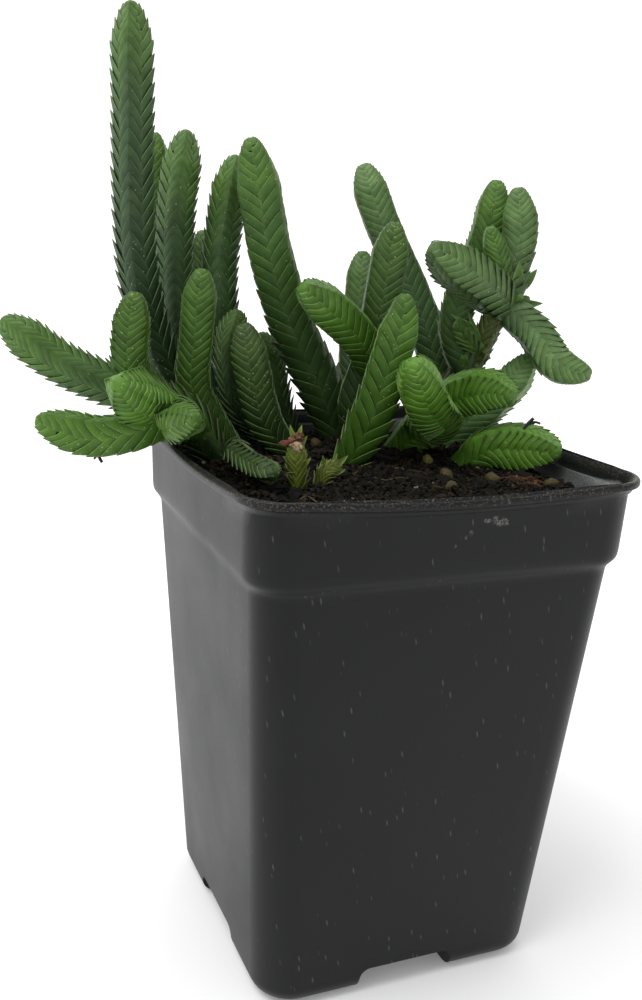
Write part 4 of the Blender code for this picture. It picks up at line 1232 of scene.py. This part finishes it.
def make_pot(material):
    """The pot: an outer form less the same form a wall's thickness inside it."""
    pot = loft(outer_levels(), "pot_shell", material)
    hollow = loft(inner_levels(), "pot_hollow")
    cut(pot, [channel(f"arch_{k}", 0.0, k == 0) for k in range(2)])
    cut(hollow, [channel(f"ridge_{k}", WALL, k == 0) for k in range(2)])
    cut(pot, [hollow] + [drain(k) for k in range(4)])
    pot.data.shade_smooth()
    pot.data.set_sharp_from_angle(angle=math.radians(POT_SHARP))
    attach(pot, "root")
    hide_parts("pot")


def soil_height(x, y):
    """The lumpy top of the soil, a little lower beside the pot's wall."""
    waves = math.sin(x * 0.31 + 1.3) * math.cos(y * 0.27 - 0.4)
    waves += 0.6 * math.sin(x * 0.71 - y * 0.52 + 0.7)
    waves += 0.4 * math.cos(x * 1.13 + y * 0.93)
    edge = max(abs(x), abs(y)) / BAND_TOP_HALF
    fall = SOIL_SLOPE * max(0.0, x)
    edge_fall = SOIL_EDGE_FALL * max(0.0, edge - SOIL_EDGE) / SOIL_EDGE_SPAN
    return SOIL_Z + SOIL_LUMP * 0.5 * waves - fall - edge_fall


def rough_soil(x, y):
    """The soil's height with its crumbs."""
    place = Vector((x, y, 0.0))
    lumps = noise.fractal(place * 0.45, 0.7, 2.1, 5)
    grains = noise.cell(place * 0.9)
    return soil_height(x, y) + SOIL_BROKEN * lumps + SOIL_GRAIN * grains


def soil_size():
    """The soil's half width and corner radius at its top."""
    return band_half(SOIL_Z) - WALL - GAP, BAND_CORNER - WALL - GAP


def make_soil(material):
    """The block of soil, with a finely broken surface."""
    half, corner = soil_size()
    rim = rounded_square(half, corner)
    count = len(rim)
    points = []
    for ring in range(SOIL_RINGS, 0, -1):
        share = (ring / SOIL_RINGS) ** SOIL_RING_POWER
        for x, y, _ in rim:
            points.append((x * share, y * share, rough_soil(x * share, y * share)))
    centre = len(points)
    points.append((0.0, 0.0, rough_soil(0.0, 0.0)))
    faces = ring_faces(SOIL_RINGS, count)
    last = (SOIL_RINGS - 1) * count
    for k in range(count):
        faces.append((last + k, last + (k + 1) % count, centre))
    starts = [0]
    for z in (INNER_BAND_FOOT_Z, BODY_TOP_Z - 1.0, SOIL_FOOT_Z):
        wide = (band_half(z) if z > BAND_FOOT_Z else body_half(z)) - WALL - GAP
        starts.append(len(points))
        points += [(x, y, z) for x, y, _ in rounded_square(wide, corner)]
    for upper, lower in zip(starts, starts[1:]):
        for k in range(count):
            nearby = (k + 1) % count
            faces.append((upper + k, lower + k, lower + nearby, upper + nearby))
    faces.append(tuple(starts[-1] + k for k in reversed(range(count))))
    soil = mesh_object("soil_block", points, faces, material, sharp=SOIL_SHARP)
    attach(soil, "root")
    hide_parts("soil")


def lump(rng, size, flatness, roughness, detail):
    """A small broken lump: the points and faces of a dented ball."""
    work = bmesh.new()
    bmesh.ops.create_icosphere(work, subdivisions=detail, radius=1.0)
    stretch = Vector((rng.uniform(*LUMP_LONG), rng.uniform(*LUMP_WIDE), flatness)) * size
    spin = Matrix.Rotation(rng.uniform(0, 2 * math.pi), 3, "Z")
    tilt = Matrix.Rotation(rng.gauss(0, 0.5), 3, "X") @ Matrix.Rotation(rng.gauss(0, 0.4), 3, "Y")
    offset = Vector((rng.uniform(0, 99), rng.uniform(0, 99), rng.uniform(0, 99)))
    points = []
    for vert in work.verts:
        dent = 1 + roughness * noise.noise(vert.co * 1.7 + offset)
        place = Vector(a * b for a, b in zip(vert.co * dent, stretch))
        points.append(tuple(spin @ (tilt @ place)))
    faces = [tuple(v.index for v in face.verts) for face in work.faces]
    work.free()
    return np.array(points), faces


def spot_on_soil(rng, margin):
    """A random place on the soil, at least a margin away from the pot's rounded wall."""
    half, corner = soil_size()
    while True:
        x = rng.uniform(-half, half)
        y = rng.uniform(-half, half)
        past = math.hypot(max(0.0, abs(x) - half + corner), max(0.0, abs(y) - half + corner))
        if past < corner - margin:
            return x, y


def lay(group, name, material, sharp):
    """Makes one piece of everything of a kind that was strewn on the soil."""
    piece = group.make(name, material, sharp)
    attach(piece, "root")


def scatter(name, material, colours, seed, count, sizes, flatness, roughness, detail, sharp):
    """Lumps of one kind strewn over the soil."""
    rng = random.Random(seed)
    group = Group()
    for _ in range(count):
        small = rng.random() < SMALL_SHARE
        size = rng.uniform(*sizes) if small else rng.uniform(sizes[1], sizes[1] * BIG_SCALE)
        x, y = spot_on_soil(rng, LUMP_REACH * size)
        points, faces = lump(rng, size, flatness, roughness, detail)
        rise = size * flatness * rng.uniform(*LUMP_RISES)
        points = points + (x, y, soil_height(x, y) + LUMP_LIFT + rise)
        group.put(points, linear(rng.choice(colours)) * rng.uniform(*LUMP_SHADES), faces)
    lay(group, name, material, sharp)


def make_litter():
    """Everything loose on the soil: bark, crumbs, perlite, prills and coir."""
    bark = shaded_material("bark", 0.9, 900.0, 0.0003)
    scatter("bark_chips", bark, BARK_BROWNS, seed=1, count=110, sizes=(0.8, 1.6), flatness=0.5,
            roughness=0.9, detail=2, sharp=30)
    scatter("soil_crumbs", bark, BARK_BROWNS, seed=2, count=7000, sizes=(0.22, 0.55), flatness=0.9,
            roughness=0.8, detail=1, sharp=30)
    stone = shaded_material("perlite", 0.8, 1400.0, 0.0002, 0.8)
    scatter("perlite", stone, PERLITE, seed=3, count=46, sizes=(0.2, 0.45), flatness=0.85,
            roughness=0.5, detail=2, sharp=60)
    make_prills(shaded_material("prill", 0.6, 1800.0, 0.0002, 0.65))
    make_fibres(bark)


def strands(group, rng, count, lengths, radius, colours, middle=None):
    """Thin curved threads that lie all over the soil, or in a tuft round a place."""
    for _ in range(count):
        angle = rng.uniform(0, 2 * math.pi)
        length = rng.uniform(*lengths)
        if middle is None:
            x, y = spot_on_soil(rng, 0.5 * length + 0.3)
        else:
            x = middle[0] + rng.uniform(-TUFT_REACH, TUFT_REACH)
            y = middle[1] + rng.uniform(-TUFT_REACH, TUFT_REACH)
        bend = rng.uniform(-THREAD_BEND, THREAD_BEND)
        centre = []
        across = []
        for k in range(THREAD_STEPS):
            share = k / (THREAD_STEPS - 1) - 0.5
            way = angle + bend * share
            px = x + math.cos(way) * length * share
            py = y + math.sin(way) * length * share
            arch = THREAD_ARCH * (0.25 - share * share) * rng.uniform(*THREAD_ARCHES)
            centre.append((px, py, soil_height(px, py) + (THREAD_LIFT + arch)))
            across.append((-math.sin(way), math.cos(way), 0.0))
        up = np.tile((0.0, 0.0, 1.0), (THREAD_STEPS, 1))
        colour = linear(rng.choice(colours)) * rng.uniform(*THREAD_SHADES)
        thickness = np.full(THREAD_STEPS, radius)
        group.tube(np.array(centre), np.array(across), up, thickness, colour, THREAD_SIDES)


def make_fibres(material):
    """Coir threads strewn over the soil, with one matted tuft of them at the right."""
    rng = random.Random(FIBRE_SEED)
    group = Group()
    strands(group, rng, 110, (2.5, 8.0), 0.12, COIR)
    strands(group, rng, 60, (2.0, 4.5), 0.14, TUFT, TUFT_PLACE)
    lay(group, "soil_fibres", material, 60)


def make_prills(material):
    """Rough balls of fertiliser, each a little sunk in the soil: one pale, and the others a darker copy of
    its colour as painted shade.
    """
    rng = random.Random(PRILL_SEED)
    group = Group()
    for k, (x, y) in enumerate(PRILLS):
        size = PRILL_RADIUS * PRILL_SCALE
        points, faces = lump(rng, size, flatness=0.95, roughness=0.18, detail=3)
        points = points + (x, y, soil_height(x, y) + PRILL_LIFT)
        # Painted shade: every prill but the first takes the darker copy.
        colour = linear(PRILL_IN_SHADE if k else PRILL_PALE)
        group.put(points, colour * rng.uniform(*PRILL_SHADES), faces)
    lay(group, "prills", material, 60)


def make_floor():
    """A wide pale floor just under the pot's feet."""
    bpy.ops.mesh.primitive_circle_add(
        vertices=FLOOR_SIDES, radius=FLOOR_RADIUS, fill_type="NGON", location=(0.0, 0.0, -FLOOR_DROP))
    floor = bpy.context.active_object
    floor.name = "floor"
    floor.data.materials.append(floor_material())


def make_world():
    """Soft light from all round, brighter behind and above the plant."""
    world = bpy.data.worlds.new("studio")
    bpy.context.scene.world = world
    tree = Tree(world)
    place = tree.add("ShaderNodeTexCoord").outputs["Generated"]
    facing = tree.vector("DOT_PRODUCT", place, tuple(Vector(BRIGHT_SIDE).normalized()))
    level = tree.ramp(facing, -WORLD_FADE, WORLD_FADE, WORLD_DIM, WORLD_BRIGHT)
    background = tree.add("ShaderNodeBackground", Color=WHITE, Strength=level)
    tree.add("ShaderNodeOutputWorld", Surface=background.outputs[0])


def make_lights():
    """A soft key light from the upper left."""
    lamp = bpy.data.lights.new("key", "SUN")
    lamp.energy = KEY_STRENGTH
    lamp.angle = KEY_WIDTH
    key = bpy.data.objects.new("key", lamp)
    key.rotation_mode = "QUATERNION"
    key.rotation_quaternion = Vector(KEY_DIRECTION).to_track_quat("-Z", "Y")
    bpy.context.scene.collection.objects.link(key)


def make_camera():
    """The photograph's point of view."""
    camera = bpy.data.objects.new("camera", bpy.data.cameras.new("camera"))
    camera.data.lens = FOCAL_LENGTH
    camera.data.clip_start = CLIP_START
    turn = Matrix.Rotation(math.radians(CAMERA_HEADING), 4, "Z")
    tip = Matrix.Rotation(math.radians(90 - CAMERA_DIP), 4, "X")
    roll = Matrix.Rotation(math.radians(CAMERA_ROLL), 4, "Z")
    camera.matrix_world = Matrix.Translation(CAMERA_PLACE) @ turn @ tip @ roll
    bpy.context.scene.collection.objects.link(camera)
    bpy.context.scene.camera = camera


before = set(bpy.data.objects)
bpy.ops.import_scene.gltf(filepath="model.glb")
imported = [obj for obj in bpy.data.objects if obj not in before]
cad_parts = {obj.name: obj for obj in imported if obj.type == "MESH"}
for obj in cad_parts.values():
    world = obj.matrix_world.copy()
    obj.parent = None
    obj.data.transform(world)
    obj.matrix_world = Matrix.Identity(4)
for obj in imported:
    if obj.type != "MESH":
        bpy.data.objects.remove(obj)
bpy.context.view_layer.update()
bpy.context.scene.view_settings.view_transform = "Standard"
make_camera()
make_floor()
make_world()
make_lights()
make_stems(leaf_material())
make_pot(plastic_material())
make_soil(soil_material())
make_litter()
